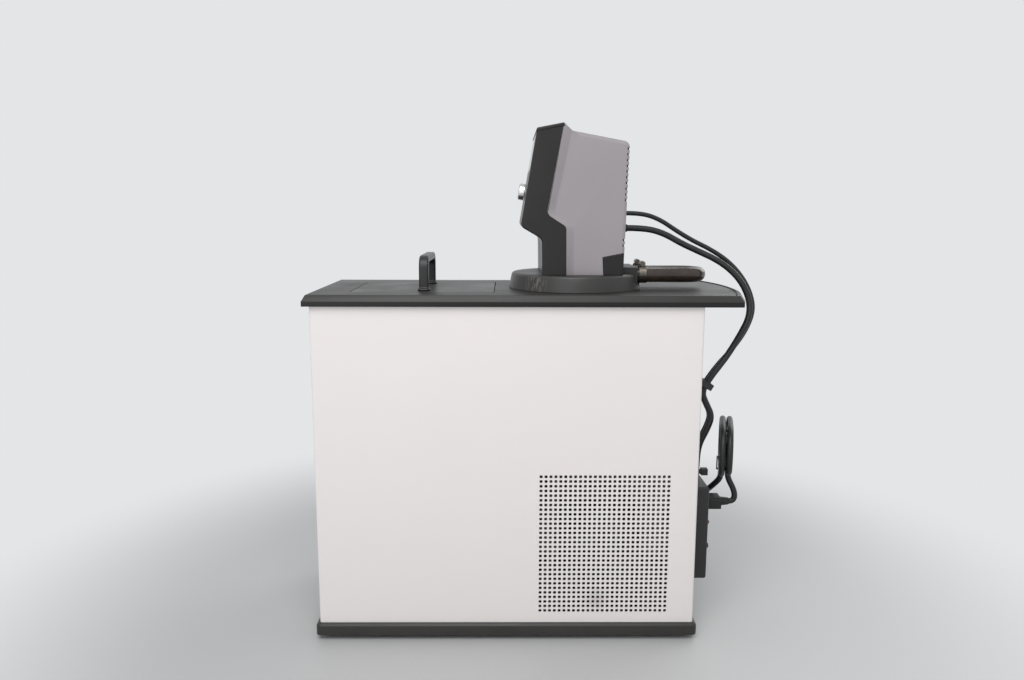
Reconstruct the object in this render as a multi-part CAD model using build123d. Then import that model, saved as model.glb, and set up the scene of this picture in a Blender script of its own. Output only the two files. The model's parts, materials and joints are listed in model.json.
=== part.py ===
from build123d import *
from math import atan2, cos, degrees, hypot, pi, radians, sin, tan
import os

# A benchtop recirculating chiller: a bath over a refrigeration unit, with a control head that
# swivels on the deck. Millimetres. X runs from the front to the rear, Y across and Z up.
# The floor is Z = 0, and X = Y = 0 is the middle of the deck.

# Deck, the black moulded top
deck_rear_overhang = 62.0
deck_width = 220.0
deck_bow = 17.4
deck_lip = 6.0
deck_bevel_rise = 7.5
deck_bevel_inset = 4.2
deck_skirt = 4.6
deck_wall = 4.0
deck_rib = 2.5

# Cabinet of folded sheet
cabinet_length = 467.0
cabinet_width = 210.0
cabinet_front_inset = 7.5
cabinet_side_height = 397.6
sheet = 1.2
flange = 12.0
fold_r = 3.0
panel_gap = 0.5

# Base tray and feet
foot_height = 6.0
foot_r = 11.5
foot_from_front = 28.5
foot_from_rear = 44.5
foot_inset_y = 21.0
tray_height = 15.3
tray_proud = 4.5
tray_bevel = 3.0
tray_ledge = 3.6
tray_floor = 2.5

# Vent field in the near side panel
vent_length = 159.3
vent_height = 177.3
vent_columns = 14
vent_rows = 15
vent_hole = 6.4
vent_from_rear = 34.3
vent_from_floor = 35.2

# Air intake in the front panel
louvre_count = 12
louvre_length = 130.0
louvre_height = 5.0
louvre_pitch = 13.0
louvre_from_floor = 46.0

# Bath tank, lid and handle
tank_length = 352.0
tank_width = 150.0
tank_depth = 150.0
tank_wall = 1.2
tank_corner_r = 16.0
tank_flange = 11.0
tank_front_inset = 52.0
foam_side = 16.0
foam_bottom = 22.0
foam_clearance = 0.3
lid_length = 175.0
lid_width = 144.0
lid_front_inset = 49.5
lid_thickness = 3.2
lid_ledge = 7.0
lid_gap = 1.0
lid_corner_r = 6.0
lid_rim_depth = 10.0
handle_rear_inset = 86.5
handle_span = 100.0
handle_height = 43.0
handle_depth = 12.0
handle_leg = 9.0
handle_foot = 15.0
handle_foot_height = 3.0

# Swivel: a fixed ring in the deck, and the disc of the control head turning in it
swivel_from_front = 328.25
ring_bore_r = 70.0
ring_wall = 5.0
ring_flange = 4.0
ring_flange_height = 2.1
swivel_clearance = 0.05
disc_r = 85.0
disc_top_r = 81.0
disc_height = 20.0
disc_wall = 3.0
disc_lift = 0.2
disc_boss_depth = 8.0

# Control head. Its side outline is set out from the swivel axis and from the disc's top.
head_half_width = 61.0
bezel_half_width = 66.0
head_wall = 3.0
bezel_lean = 9.4
bezel_top_front = (-52.1, 174.5)
bezel_top_back = (-20.3, 180.7)
bezel_chin = (-71.3, 58.7)
bezel_throat = (-45.6, 43.8)
neck_front = -44.9
neck_back = -15.4
neck_back_top = (-16.2, 58.8)
bezel_back_low = (-40.1, 73.9)
housing_top_front = (-10.5, 172.6)
housing_top_rear = (59.6, 159.6)
housing_foot_rear = 55.0
cutout_front = 30.1
cutout_front_top = (28.7, 22.0)
cutout_rear_top = (55.8, 27.2)
flare_depth = 9.5
rear_corner_r = 8.0

# Front face of the head
lens_width = 104.0
lens_height = 54.0
lens_thickness = 2.0
lens_from_knob = 54.0
knob_r = 10.5
knob_depth = 9.0
knob_height_on_head = 100.5
key_width = 20.0
key_height = 9.0
key_proud = 1.0
key_pitch_y = 38.0
key_gap = 0.4
board_width = 108.0
board_height = 98.0
encoder_size = 13.0
board_hole_r = 10.0
encoder_depth = 7.0
spindle_r = 3.0

# Slots at the rear corners of the head
slot_height = 2.6
slot_pitch = 6.74
slot_count = 10
slot_first = 90.6
slot_low_first = 36.0
slot_low_count = 2
slot_reach = 3.2
slot_inner_y = 26.0

# Connector plate at the head's rear
plate_z0 = 46.0
plate_z1 = 87.0
plate_half_width = 40.0
plate_thickness = 1.5

# Pump ports and bypass hose
port_half_width = 37.0
port_front = 50.0
port_step = 57.0
port_rear = 76.0
port_height = 8.0
notch_floor = 6.4
port_pitch = 41.0
barb_r = 7.6
barb_length = 12.0
hose_r = 10.5
hose_z = 18.6
hose_reach = 160.0
clamp_wall = 0.8
clamp_width = 9.0

# Pump, heater and probe under the disc
motor_r = 24.0
motor_height = 78.0
shaft_r = 4.0
column_r = 13.0
column_wall = 1.5
pump_r = 27.0
pump_height = 26.0
pump_above_bottom = 20.0
impeller_r = 20.0
impeller_blades = 6
heater_r = 4.0
heater_reach = 42.0
probe_r = 3.0
probe_depth = 95.0
pipe_r = 5.0
pipe_y = 20.0
pipe_x = 57.0
outlet_above_pump = 50.0
return_above_pump = 90.0

# Refrigeration unit
compressor_r = 56.0
compressor_height = 132.0
compressor_from_rear = 110.25
compressor_foot = 3.0
grommet_r = 8.0
grommet_height = 10.0
grommet_pitch = 96.0
condenser_from_front = 32.75
condenser_depth = 36.0
condenser_width = 176.0
condenser_height = 168.0
condenser_fins = 16
fin_thickness = 2.0
fan_r = 72.0
fan_blades = 5
fan_hub_r = 16.0
fan_gap = 6.0
fan_motor_r = 22.0
fan_motor_depth = 34.0
line_r = 4.0
copper_r = 3.0
line_gap = 0.2
liquid_from_compressor = 66.0
suction_from_compressor = 36.0
drier_r = 10.0
drier_length = 80.0
drier_from_condenser = 168.0
drier_y = 62.0
drier_z = 62.0

# Electrical box on the rear panel
box_depth = 21.0
box_near_y = -80.0
box_far_y = 30.0
box_bottom = 67.0
box_height = 121.0
box_wall = 2.5
socket_y = -45.0
socket_z = 158.0
socket_width = 27.0
socket_height = 19.0
rocker_y = -62.0
rocker_z = 133.0
rocker_width = 13.0
rocker_height = 19.0
rocker_depth = 5.0
rocker_swing = 16.0
rocker_gap = 0.4
rocker_pin_r = 0.8
rocker_pin_reach = 1.0
breaker_y = -62.0
breaker_z = 104.5
breaker_r = 5.0
breaker_collar = 1.5
button_r = 3.0
button_proud = 3.5

# Rear fittings
clip_stand = 16.95
cable_clip_y = -50.0
cable_clip_z = 315.2
clip_tilt = 30.5
clip_window = 22.0
clip_opening = 11.0
clip_length = 8.0
clip_wall = 2.0
coil_centre = (255.5, -40.0, 231.0)
plug_x = 222.5
plug_y = 90.0
plug_height = 20.0
port_cap_y = -66.0
port_cap_z = 205.0
port_cap_size = 8.0
port_cap_proud = 20.0

# Cords
thin_cord = 6.0
thick_cord = 8.0
mains_cord = 7.5
coil_depth_length = 110.0
coil_height = 70.0
coil_thickness = 17.0
coil_bundle = 14.0
coil_turn = 14.0

# Worked-out levels and places
deck_length = cabinet_front_inset + cabinet_length + deck_rear_overhang
deck_front = -deck_length / 2
swivel_x = deck_front + swivel_from_front
deck_z0 = foot_height + tray_height + cabinet_side_height
deck_top = deck_z0 + deck_lip + deck_bevel_rise
deck_under = deck_top - deck_wall
tray_top = foot_height + tray_height
cab_x0 = deck_front + cabinet_front_inset
cab_x1 = cab_x0 + cabinet_length
cab_y = cabinet_width / 2
compressor_x = cab_x1 - compressor_from_rear
condenser_x = cab_x0 + condenser_from_front
liquid_x = compressor_x - liquid_from_compressor
suction_x = compressor_x - suction_from_compressor
drier_x = condenser_x + drier_from_condenser
panel_height = deck_under - tray_top
disc_z0 = deck_top + disc_lift
disc_z1 = disc_z0 + disc_height
tank_x0 = deck_front + tank_front_inset
tank_x1 = tank_x0 + tank_length
tank_z1 = deck_under
tank_z0 = tank_z1 - tank_depth
lid_x0 = deck_front + lid_front_inset
box_x1 = cab_x1 + box_depth
cable_clip_x = cab_x1 + clip_stand


def block(x0, x1, y0, y1, z0, z1):
    """A box between two corners."""
    place = Pos((x0 + x1) / 2, (y0 + y1) / 2, (z0 + z1) / 2)
    return place * Box(x1 - x0, y1 - y0, z1 - z0)


def post(x, y, z0, z1, r):
    """An upright cylinder."""
    return Pos(x, y, (z0 + z1) / 2) * Cylinder(r, z1 - z0)


def bar_x(x0, x1, y, z, r):
    """A cylinder along X."""
    return Pos((x0 + x1) / 2, y, z) * Rot(0, 90, 0) * Cylinder(r, x1 - x0)


def rounded_block(x0, x1, y0, y1, z0, z1, r):
    """A box with its four upright edges rounded."""
    face = Pos((x0 + x1) / 2, (y0 + y1) / 2, z0) * RectangleRounded(x1 - x0, y1 - y0, r)
    return extrude(face, z1 - z0)


def tube(points, r, radii=None):
    """A round tube of straight runs joined by tangent arcs, as large as the runs allow."""
    path_points = [Vector(*p) for p in points]
    if radii is None:
        radii = []
        for before, here, after in zip(path_points, path_points[1:], path_points[2:]):
            turn = (here - before).get_angle(after - here)
            shorter = min((here - before).length, (after - here).length)
            radii.append(0.45 * shorter / tan(radians(turn) / 2))
    path = FilletPolyline(*path_points, radius=radii)
    start = Plane(origin=path @ 0, z_dir=path % 0)
    body = sweep(start * Circle(r), path=path)
    return body, path, radii


def cord(name, points, diameter):
    """A cord's tube. It prints its radii, and its volume against its section times its length."""
    body, path, radii = tube(points, diameter / 2)
    want = pi * diameter ** 2 / 4 * path.length
    print(name, "length", round(path.length), "radii", [round(r) for r in radii],
          "volume share", round(body.volume / want, 4))
    return body


# Deck outline: three straight edges and a rear edge bowed outwards

def deck_face(inset, z):
    x0 = deck_front + inset
    x1 = deck_length / 2 - deck_bow - inset
    y = deck_width / 2 - inset
    bow = ThreePointArc((x1, -y), (x1 + deck_bow, 0), (x1, y))
    sides = Polyline((x1, y), (x0, y), (x0, -y), (x1, -y))
    return Pos(0, 0, z) * make_face(bow + sides)


def deck():
    lip = extrude(deck_face(0, deck_z0), deck_lip)
    bevel = loft([deck_face(0, deck_z0 + deck_lip), deck_face(deck_bevel_inset, deck_top)], ruled=True)
    shell = lip + bevel
    shell -= extrude(deck_face(deck_skirt, deck_z0), deck_under - deck_z0)
    x0 = lid_x0 - lid_gap
    x1 = lid_x0 + lid_length + lid_gap
    y = lid_width / 2 + lid_gap
    shell -= rounded_block(x0, x1, -y, y, deck_top - lid_thickness, deck_top + 1, lid_corner_r + lid_gap)
    y -= lid_ledge + lid_gap
    hole = rounded_block(x0 + lid_ledge + lid_gap, x1 - lid_ledge - lid_gap, -y, y,
                         deck_under - 1, deck_top, lid_corner_r)
    shell -= hole
    shell -= post(swivel_x, 0, deck_under - 1, deck_top + 1, ring_bore_r + ring_wall + 0.1)
    flange_r = ring_bore_r + ring_wall + ring_flange + 0.1
    shell -= post(swivel_x, 0, deck_top - ring_flange_height + 0.1, deck_top + 1, flange_r)
    rib_x0 = cab_x1 + 2
    for y in (-66, -22, 22, 66):
        shell += block(rib_x0, deck_length / 2 - deck_bow - deck_skirt + 1, y - deck_rib / 2,
                       y + deck_rib / 2, deck_z0 + 2, deck_under)
    return shell


def swivel_ring():
    outer = ring_bore_r + ring_wall
    z1 = deck_top - ring_flange_height + 0.1
    ring = post(swivel_x, 0, deck_under, z1, outer)
    ring += post(swivel_x, 0, z1, z1 + ring_flange_height, outer + ring_flange)
    return ring - post(swivel_x, 0, deck_under - 1, deck_top + 5, ring_bore_r)


# Base and cabinet

def base_tray():
    x0, x1, y = cab_x0 - tray_proud, cab_x1 + tray_proud, cab_y + tray_proud
    body = rounded_block(x0, x1, -y, y, foot_height, tray_top, 6)
    body = chamfer(body.faces().sort_by(Axis.Z)[-1].edges(), tray_bevel)
    wall = tray_proud + tray_ledge
    return body - rounded_block(x0 + wall, x1 - wall, -y + wall, y - wall,
                                foot_height + tray_floor, tray_top + 1, 4)


def foot_places():
    y = cab_y - foot_inset_y
    for x in (cab_x0 + foot_from_front, cab_x1 - foot_from_rear):
        for side in (-1, 1):
            yield x, side * y


def feet():
    one = Cylinder(foot_r, foot_height)
    one = chamfer(one.edges().sort_by(Axis.Z)[0], 1.2)
    return [Pos(x, y, foot_height / 2) * one for x, y in foot_places()]


def side_panel(side):
    """A side sheet with its front and rear edges folded in round a soft bend."""
    outer = Pos((cab_x0 + cab_x1) / 2, cab_y - flange / 2) * Rectangle(cabinet_length, flange)
    outer = fillet(outer.vertices().group_by(Axis.Y)[-1], fold_r)
    inner = Pos((cab_x0 + cab_x1) / 2, cab_y - sheet - flange / 2)
    inner = inner * Rectangle(cabinet_length - 2 * sheet, flange)
    inner = fillet(inner.vertices().group_by(Axis.Y)[-1], fold_r - sheet)
    panel = extrude(Pos(0, 0, tray_top) * (outer - inner), panel_height)
    return panel if side > 0 else mirror(panel, Plane.XZ)


def near_side_panel():
    panel = side_panel(-1)
    pitch_x = (vent_length - vent_hole) / (vent_columns - 1)
    pitch_z = (vent_height - vent_hole) / (vent_rows - 1)
    x = cab_x1 - vent_from_rear - vent_length / 2
    z = vent_from_floor + vent_height / 2
    at = Plane((x, -cab_y + sheet / 2, z), x_dir=(1, 0, 0), z_dir=(0, -1, 0))
    grid = GridLocations(pitch_x, pitch_z, vent_columns, vent_rows)
    return panel - [at * place * Box(vent_hole, vent_hole, sheet + 2) for place in grid]


def end_panel(x, inward):
    """A front or rear sheet between the side panels' folds, with its own edges folded in."""
    y = cab_y - flange - panel_gap
    body = block(min(x, x + inward * sheet), max(x, x + inward * sheet), -y, y,
                 tray_top, tray_top + panel_height)
    back = x + inward * flange
    for side in (-1, 1):
        y0, y1 = sorted((side * y, side * (y - sheet)))
        body += block(min(x, back), max(x, back), y0, y1, tray_top, tray_top + panel_height)
    return body


def front_panel():
    body = end_panel(cab_x0, 1)
    for i in range(louvre_count):
        z = louvre_from_floor + i * louvre_pitch
        body -= block(cab_x0 - 1, cab_x0 + sheet + 1, -louvre_length / 2, louvre_length / 2,
                      z, z + louvre_height)
    return body


def rear_panel():
    body = end_panel(cab_x1, -1)
    body -= block(cab_x1 - sheet - 1, cab_x1 + 1, box_near_y + 12, box_far_y - 12,
                  box_bottom + 12, box_bottom + box_height - 12)
    return body


# Bath

def tank_shape(grow, z0, z1):
    y = tank_width / 2 + grow
    return rounded_block(tank_x0 - grow, tank_x1 + grow, -y, y, z0, z1, tank_corner_r + grow)


def bath_tank():
    body = tank_shape(tank_wall, tank_z0 - tank_wall, tank_z1)
    body += tank_shape(tank_flange, tank_z1 - tank_wall, tank_z1)
    return body - tank_shape(0, tank_z0, tank_z1 + 1)


def tank_insulation():
    """Foam round the tank, with a band left free for the cooling coil."""
    top = tank_z1 - tank_wall - 1
    y = tank_width / 2 + tank_wall + foam_side
    body = block(tank_x0 - foam_side, tank_x1 + foam_side, -y, y, tank_z0 - tank_wall - foam_bottom, top)
    body -= tank_shape(tank_wall + foam_clearance, tank_z0 - tank_wall, top + 1)
    levels = coil_levels()
    body -= tank_shape(tank_wall + 2 * line_r + 2, levels[0] - line_r - 1, levels[-1] + line_r + 1)
    for x, z in ((liquid_x, levels[-1]), (suction_x, levels[0])):
        body -= Pos(x, y, z) * Rot(90, 0, 0) * Cylinder(copper_r + 0.5, 2 * foam_side)
    return body


def coil_levels():
    return [tank_z0 + 28 + i * 3 * line_r for i in range(4)]


def evaporator_coil():
    """Four turns of tube round the tank's walls, each closed on the next by a header."""
    grow = tank_wall + line_r + 0.4
    x0, x1, y = tank_x0 - grow, tank_x1 + grow, tank_width / 2 + grow
    body = None
    for z in coil_levels():
        loop = FilletPolyline((x0, -y, z), (x1, -y, z), (x1, y, z), (x0, y, z),
                              radius=tank_corner_r + grow, close=True)
        at = Plane(origin=loop @ 0, z_dir=loop % 0)
        turn = sweep(at * Circle(line_r), path=loop)
        body = turn if body is None else body + turn
    levels = coil_levels()
    return body + post(tank_x0 + 60, y, levels[0], levels[-1], line_r * 0.9)


def bath_lid():
    y = lid_width / 2
    plate = rounded_block(lid_x0, lid_x0 + lid_length, -y, y, deck_top - lid_thickness, deck_top,
                          lid_corner_r)
    inset = lid_ledge + 2 * lid_gap
    z0, z1 = deck_top - lid_thickness - lid_rim_depth, deck_top - lid_thickness
    x0, x1, yr = lid_x0 + inset, lid_x0 + lid_length - inset, y - inset
    rim = rounded_block(x0, x1, -yr, yr, z0, z1, lid_corner_r)
    rim -= rounded_block(x0 + 3, x1 - 3, -yr + 3, yr - 3, z0 - 1, z1, lid_corner_r - 3)
    return plate + rim


def handle_x():
    return lid_x0 + lid_length - handle_rear_inset


def lid_handle():
    """A bridge handle across the lid, with a rounded grip and a small foot on each leg."""
    y, top = handle_span / 2 + handle_leg / 2, handle_height
    arch = Polyline((-y, 0), (-y, top), (y, top), (y, 0), close=True)
    outer = make_face(arch)
    outer = fillet(outer.vertices().group_by(Axis.Y)[-1], 16)
    inner = Pos(0, (top - handle_leg) / 2) * Rectangle(2 * (y - handle_leg), top - handle_leg)
    inner = fillet(inner.vertices().group_by(Axis.Y)[-1], 9)
    at = Plane((handle_x(), 0, deck_top), x_dir=(0, 1, 0), z_dir=(1, 0, 0))
    body = extrude(at * (outer - inner), handle_depth / 2, both=True)
    body = fillet(body.edges().filter_by(lambda e: e.center().Z > deck_top + 8), 2.5)
    for side in (-1, 1):
        y0 = side * handle_span / 2
        foot = rounded_block(handle_x() - handle_foot / 2, handle_x() + handle_foot / 2,
                             y0 - 9, y0 + 9, deck_top, deck_top + handle_foot_height, 4)
        body += foot
    return body


# Control head

def on_head(points):
    """Points set out from the swivel axis and the disc's top, moved to their place."""
    return [(swivel_x + x, disc_z1 + z) for x, z in points]


def outline(points, radii):
    """A closed outline in the XZ plane. radii gives the rounding of each point, or 0."""
    face = make_face(Polyline(*points, close=True))
    for point, radius in zip(points, radii):
        if radius:
            corner = min(face.vertices(), key=lambda v: hypot(v.X - point[0], v.Y - point[1]))
            face = fillet(corner, radius)
    return Plane.XZ * face


def bezel_back():
    return [(neck_back, 0), neck_back_top, bezel_back_low, bezel_top_back]


def head_bezel():
    """The black front shell: a leaning screen housing that narrows to a neck."""
    points = [(neck_front, 0), bezel_throat, bezel_chin, bezel_top_front]
    radii = [0, 8, 7, 4, 0, 9, 7, 0]
    outside = outline(on_head(points + bezel_back()[::-1]), radii)
    body = extrude(outside, bezel_half_width, both=True)
    front = body.edges().filter_by(lambda e: abs(abs(e.center().Y) - bezel_half_width) < 0.01)
    front = [e for e in front if facing_front(e)]
    body = fillet(front, 2.0)
    w = head_wall
    inner = [(neck_front + w, -1), (bezel_throat[0] + w, bezel_throat[1] + 1.2),
             (bezel_chin[0] + 3.34, bezel_chin[1] + 1.8), (bezel_top_front[0] + 2.6, bezel_top_front[1] - 2.6),
             (bezel_top_back[0] + 6, bezel_top_back[1] - 2.0), (bezel_back_low[0] + 6, bezel_back_low[1]),
             (neck_back_top[0] + 6, neck_back_top[1]), (neck_back + 6, -1)]
    hollow = extrude(outline(on_head(inner), [0] * 8), bezel_half_width - w, both=True)
    body -= hollow
    body -= face_block(0, lens_from_knob, lens_width, lens_height, -lens_thickness, 1)
    body -= face_block(0, lens_from_knob, lens_width - 8, lens_height - 8, -head_wall - 2, 1)
    body -= face_round(0, 0, spindle_r + 1.0, -head_wall - 3, 2)
    for y in (-key_pitch_y, key_pitch_y):
        body -= face_block(y, 0, key_width + 2 * key_gap, key_height + 2 * key_gap, -head_wall - 2, 2)
    return body


def facing_front(edge):
    """True for an edge of the bezel's side that lies on its front, top or chin."""
    c = edge.center()
    x, z = c.X - swivel_x, c.Z - disc_z1
    if z < 2:
        return False
    back = neck_back if z < neck_back_top[1] else bezel_back_low[0] + (z - bezel_back_low[1]) * 0.185
    return x < back - 8


def face_plane():
    """The head's leaning front face: its origin is at the knob, x across and y up the face."""
    lean = radians(bezel_lean)
    up = Vector(sin(lean), 0, cos(lean))
    out = Vector(-cos(lean), 0, sin(lean))
    chin, top = bezel_chin, bezel_top_front
    share = (knob_height_on_head - chin[1]) / (top[1] - chin[1])
    x = chin[0] + share * (top[0] - chin[0])
    origin = Vector(swivel_x + x, 0, disc_z1 + knob_height_on_head)
    return Plane(origin=origin, x_dir=up.cross(out), z_dir=out)


def face_block(y, z, width, height, depth0, depth1):
    """A box on the front face, from depth0 to depth1 along its outward normal."""
    face = Pos(y, z, depth0) * Rectangle(width, height)
    return extrude(face_plane() * face, depth1 - depth0)


def face_round(y, z, r, depth0, depth1):
    face = Pos(y, z, depth0) * Circle(r)
    return extrude(face_plane() * face, depth1 - depth0)


def housing_outline(grow):
    """The grey housing's side outline, or the same one drawn in by a wall."""
    top = [(housing_top_front[0], housing_top_front[1] - grow),
           (housing_top_rear[0] - grow, housing_top_rear[1] - grow)]
    rear = [(cutout_rear_top[0] - grow, cutout_rear_top[1]), cutout_front_top, (cutout_front, 0)]
    return top, rear


def head_housing():
    """The grey rear shell, with a flared front rim that meets the wider bezel."""
    top, rear = housing_outline(0)
    points = bezel_back() + top + rear
    radii = [0, 7, 9, 0, 0, rear_corner_r, 0, 0, 0]
    body = extrude(outline(on_head(points), radii), head_half_width, both=True)
    uprights = body.edges().filter_by(
        lambda e: abs(abs(e.center().Y) - head_half_width) < 0.01 and e.center().X > swivel_x + 53
        and e.center().Z > disc_z1 + 30)
    body = fillet(uprights, 5.0)
    for side in (-1, 1):
        body += flare(side)
    w = head_wall
    inner_top, inner_rear = housing_outline(w)
    inner = [(neck_back - w, -1), (neck_back_top[0] - w, neck_back_top[1] - 2),
             (bezel_back_low[0] - w, bezel_back_low[1] - 2), (bezel_top_back[0] - w, bezel_top_back[1] - 8)]
    inner += inner_top + [inner_rear[0], (cutout_front_top[0] - w, cutout_front_top[1] + w),
                          (cutout_front - w, -1)]
    body -= extrude(outline(on_head(inner), [0] * len(inner)), head_half_width - w, both=True)
    return body - rear_slots() - plate_recess()


def flare(side):
    """The strip behind the bezel that slopes out from the housing's side to the bezel's side."""
    back = bezel_back()
    inner, outer = [], []
    for x, z in back:
        inner.append((x + flare_depth, z - (0.185 * flare_depth if z == bezel_top_back[1] else 0)))
        outer.append((x + 0.8, z - (0.6 if z == bezel_top_back[1] else 0)))
    inner[-1] = housing_top_front
    outer[-1] = (bezel_top_back[0] + 0.8, bezel_top_back[1] - 0.66)
    radii = [0, 7, 9, 0]
    low = outline(on_head(back + inner[::-1]), radii + radii[::-1])
    high = outline(on_head(back + outer[::-1]), radii + radii[::-1])
    return loft([Pos(0, side * head_half_width, 0) * low, Pos(0, side * bezel_half_width, 0) * high],
                ruled=True)


def slot_levels():
    low = [slot_low_first + i * slot_pitch for i in range(slot_low_count)]
    return low + [slot_first + i * slot_pitch for i in range(slot_count)]


def rear_x(z):
    """Where the housing's sloping rear face stands at a height above the disc."""
    share = (z - cutout_rear_top[1]) / (housing_top_rear[1] - cutout_rear_top[1])
    return swivel_x + cutout_rear_top[0] + share * (housing_top_rear[0] - cutout_rear_top[0])


def rear_slots():
    cuts = []
    for level in slot_levels():
        x, z = rear_x(level), disc_z1 + level
        for side in (-1, 1):
            y0, y1 = sorted((side * slot_inner_y, side * (head_half_width + 1)))
            cuts.append(block(x - slot_reach, x + 2, y0, y1, z - slot_height / 2, z + slot_height / 2))
    return cuts


def plate_recess():
    """The opening in the housing's rear that the connector plate covers from outside."""
    return block(rear_x(plate_z0) - head_wall - 1, rear_x(plate_z1) + 5, -plate_half_width + 6,
                 plate_half_width - 6, disc_z1 + plate_z0 + 5, disc_z1 + plate_z1 - 5)


def rear_tilt():
    return degrees(atan2(housing_top_rear[0] - cutout_rear_top[0],
                         housing_top_rear[1] - cutout_rear_top[1]))


def rear_plane(level):
    """A plane on the housing's rear face at a height above the disc, x along Y and y up."""
    tilt = radians(rear_tilt())
    out = Vector(cos(tilt), 0, -sin(tilt))
    return Plane(origin=(rear_x(level), 0, disc_z1 + level), x_dir=(0, 1, 0), z_dir=out)


def strain_reliefs():
    return [strain_relief(4, 75.0, thin_cord, 5.0, 4.0), strain_relief(-5, 56.2, thick_cord, 7.0, 5.0)]


def connector_plate():
    mid = (plate_z0 + plate_z1) / 2
    face = RectangleRounded(2 * plate_half_width, plate_z1 - plate_z0, 3)
    return extrude(rear_plane(mid) * face, plate_thickness)


def strain_relief(y, level, cord_d, flange_r, length):
    """A moulded relief: a flange on the plate and a tapered sleeve round the cord's end."""
    x0 = rear_x(level) + plate_thickness
    z = disc_z1 + level
    out = Plane(origin=(x0, y, z), x_dir=(0, 1, 0), z_dir=(1, 0, 0))
    body = extrude(out * Circle(flange_r), 3, both=False)
    body += Pos(x0 + 3 + length / 2, y, z) * Rot(0, 90, 0) * Cone(cord_d / 2 + 1.8, cord_d / 2 + 0.6, length)
    cut = rear_plane(level) * (Pos(0, 0, -5 + plate_thickness) * Box(60, 60, 10))
    base = extrude(out * Circle(flange_r), -1.0)
    return body + base - cut


def rear_corner_block():
    """The black moulding at the housing's rear foot, set over the pump's ports."""
    points = on_head([(cutout_front + 0.3, 0), (cutout_front_top[0] + 0.3, cutout_front_top[1] - 0.3),
                      (cutout_rear_top[0], cutout_rear_top[1] - 0.3), (housing_foot_rear, 0)])
    body = extrude(outline(points, [0] * 4), head_half_width, both=True)
    edges = body.edges().filter_by(lambda e: abs(abs(e.center().Y) - head_half_width) < 0.01
                                   and e.center().X > swivel_x + 52 and e.length > 20)
    body = fillet(edges, 5.0)
    inner = on_head([(cutout_front + 3.3, -1), (cutout_front_top[0] + 3.3, cutout_front_top[1] - 3.3),
                     (cutout_rear_top[0] - 3, cutout_rear_top[1] - 3.3), (housing_foot_rear - 3, -1)])
    return body - extrude(outline(inner, [0] * 4), head_half_width - 3, both=True)


def display_lens():
    inset = 0.2
    body = face_block(0, lens_from_knob, lens_width - 2 * inset, lens_height - 2 * inset, -lens_thickness, 0.2)
    edges = body.edges().filter_by(lambda e: e.length < 3)
    return fillet(edges, 2.0)


def control_board():
    """The board behind the face, seated on the display and the keys."""
    z = lens_from_knob / 2
    board = face_block(0, z - 6, board_width, board_height, -head_wall - 4.6, -head_wall - 3)
    return board - face_round(0, 0, board_hole_r, -12, 0)


def encoder_body():
    body = face_block(0, 0, encoder_size, encoder_size, -head_wall - 3 - encoder_depth, -head_wall - 0.3)
    body -= face_round(0, 0, spindle_r + 1.5 + swivel_clearance, -head_wall - encoder_depth - 1, 0)
    return body


def encoder_rotor():
    """The turning sleeve inside the encoder, which the spindle slides through."""
    body = face_round(0, 0, spindle_r + 1.5, -head_wall - encoder_depth - 0.9, -head_wall - 1.5)
    return body - face_round(0, 0, spindle_r + swivel_clearance, -head_wall - encoder_depth - 2, 0)


def encoder_spindle():
    return face_round(0, 0, spindle_r, -head_wall - encoder_depth + 1.2, 2.6)


def knob():
    """A turned metal knob with a coned skirt and a dished end."""
    base = face_plane()
    z0 = 1.4
    body = extrude(base * (Pos(0, 0, z0) * Circle(knob_r)), knob_depth - 1.4)
    rim = body.edges().sort_by(lambda e: (e.center() - base.origin).dot(base.z_dir))
    body = chamfer(rim[-1], 1.2)
    return body - face_round(0, 0, spindle_r, z0 - 1, 2.6)


def key(y):
    return face_block(y, 0, key_width, key_height, -head_wall - 1.2, key_proud)


# Swivel disc and ports

def swivel_disc():
    """The round foot of the head. Its boss turns in the ring, and its rear is notched for the ports."""
    body = Pos(swivel_x, 0, disc_z0 + disc_height / 2) * Cone(disc_r, disc_top_r, disc_height)
    top_edge = body.edges().sort_by(Axis.Z)[-1]
    body = fillet(top_edge, 4.0)
    body += post(swivel_x, 0, disc_z0 - disc_boss_depth, disc_z0 + 1, ring_bore_r - swivel_clearance)
    inner_r = ring_bore_r - disc_wall
    body -= post(swivel_x, 0, disc_z0 - disc_boss_depth - 1, disc_z1 - disc_wall, inner_r)
    notch = block(swivel_x + port_front, swivel_x + disc_r + 5, -port_half_width - 0.5,
                  port_half_width + 0.5, disc_z0 + notch_floor, disc_z1 + 1)
    floor = block(swivel_x + port_front - 3, swivel_x + disc_r, -port_half_width - 3.5,
                  port_half_width + 3.5, disc_z0 + notch_floor - 3, disc_z1 - 1)
    within = post(swivel_x, 0, disc_z0, disc_z1, ring_bore_r - disc_wall + 0.5)
    body = body + (floor & within) - notch
    body -= post(swivel_x, 0, disc_z0, disc_z1 + 1, 9)
    for y in (-pipe_y, pipe_y):
        body -= post(swivel_x + pipe_x, y, disc_z0, disc_z1, pipe_r + 0.3)
    return body


def port_block():
    """The moulding that joins the pump's pipes to the two hose ports."""
    z0 = disc_z0 + notch_floor
    body = block(swivel_x + port_front + 0.3, swivel_x + port_rear, -port_half_width, port_half_width,
                 z0, disc_z1)
    body += block(swivel_x + port_step, swivel_x + port_rear, -port_half_width, port_half_width,
                  disc_z1 - 1, disc_z1 + port_height)
    body = chamfer(body.edges().filter_by(Axis.Y).sort_by(Axis.Z)[-1], 2)
    for y in (-port_pitch / 2, port_pitch / 2):
        body += barb(y)
    return body


def port_axis_z():
    return disc_z0 + hose_z


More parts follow.
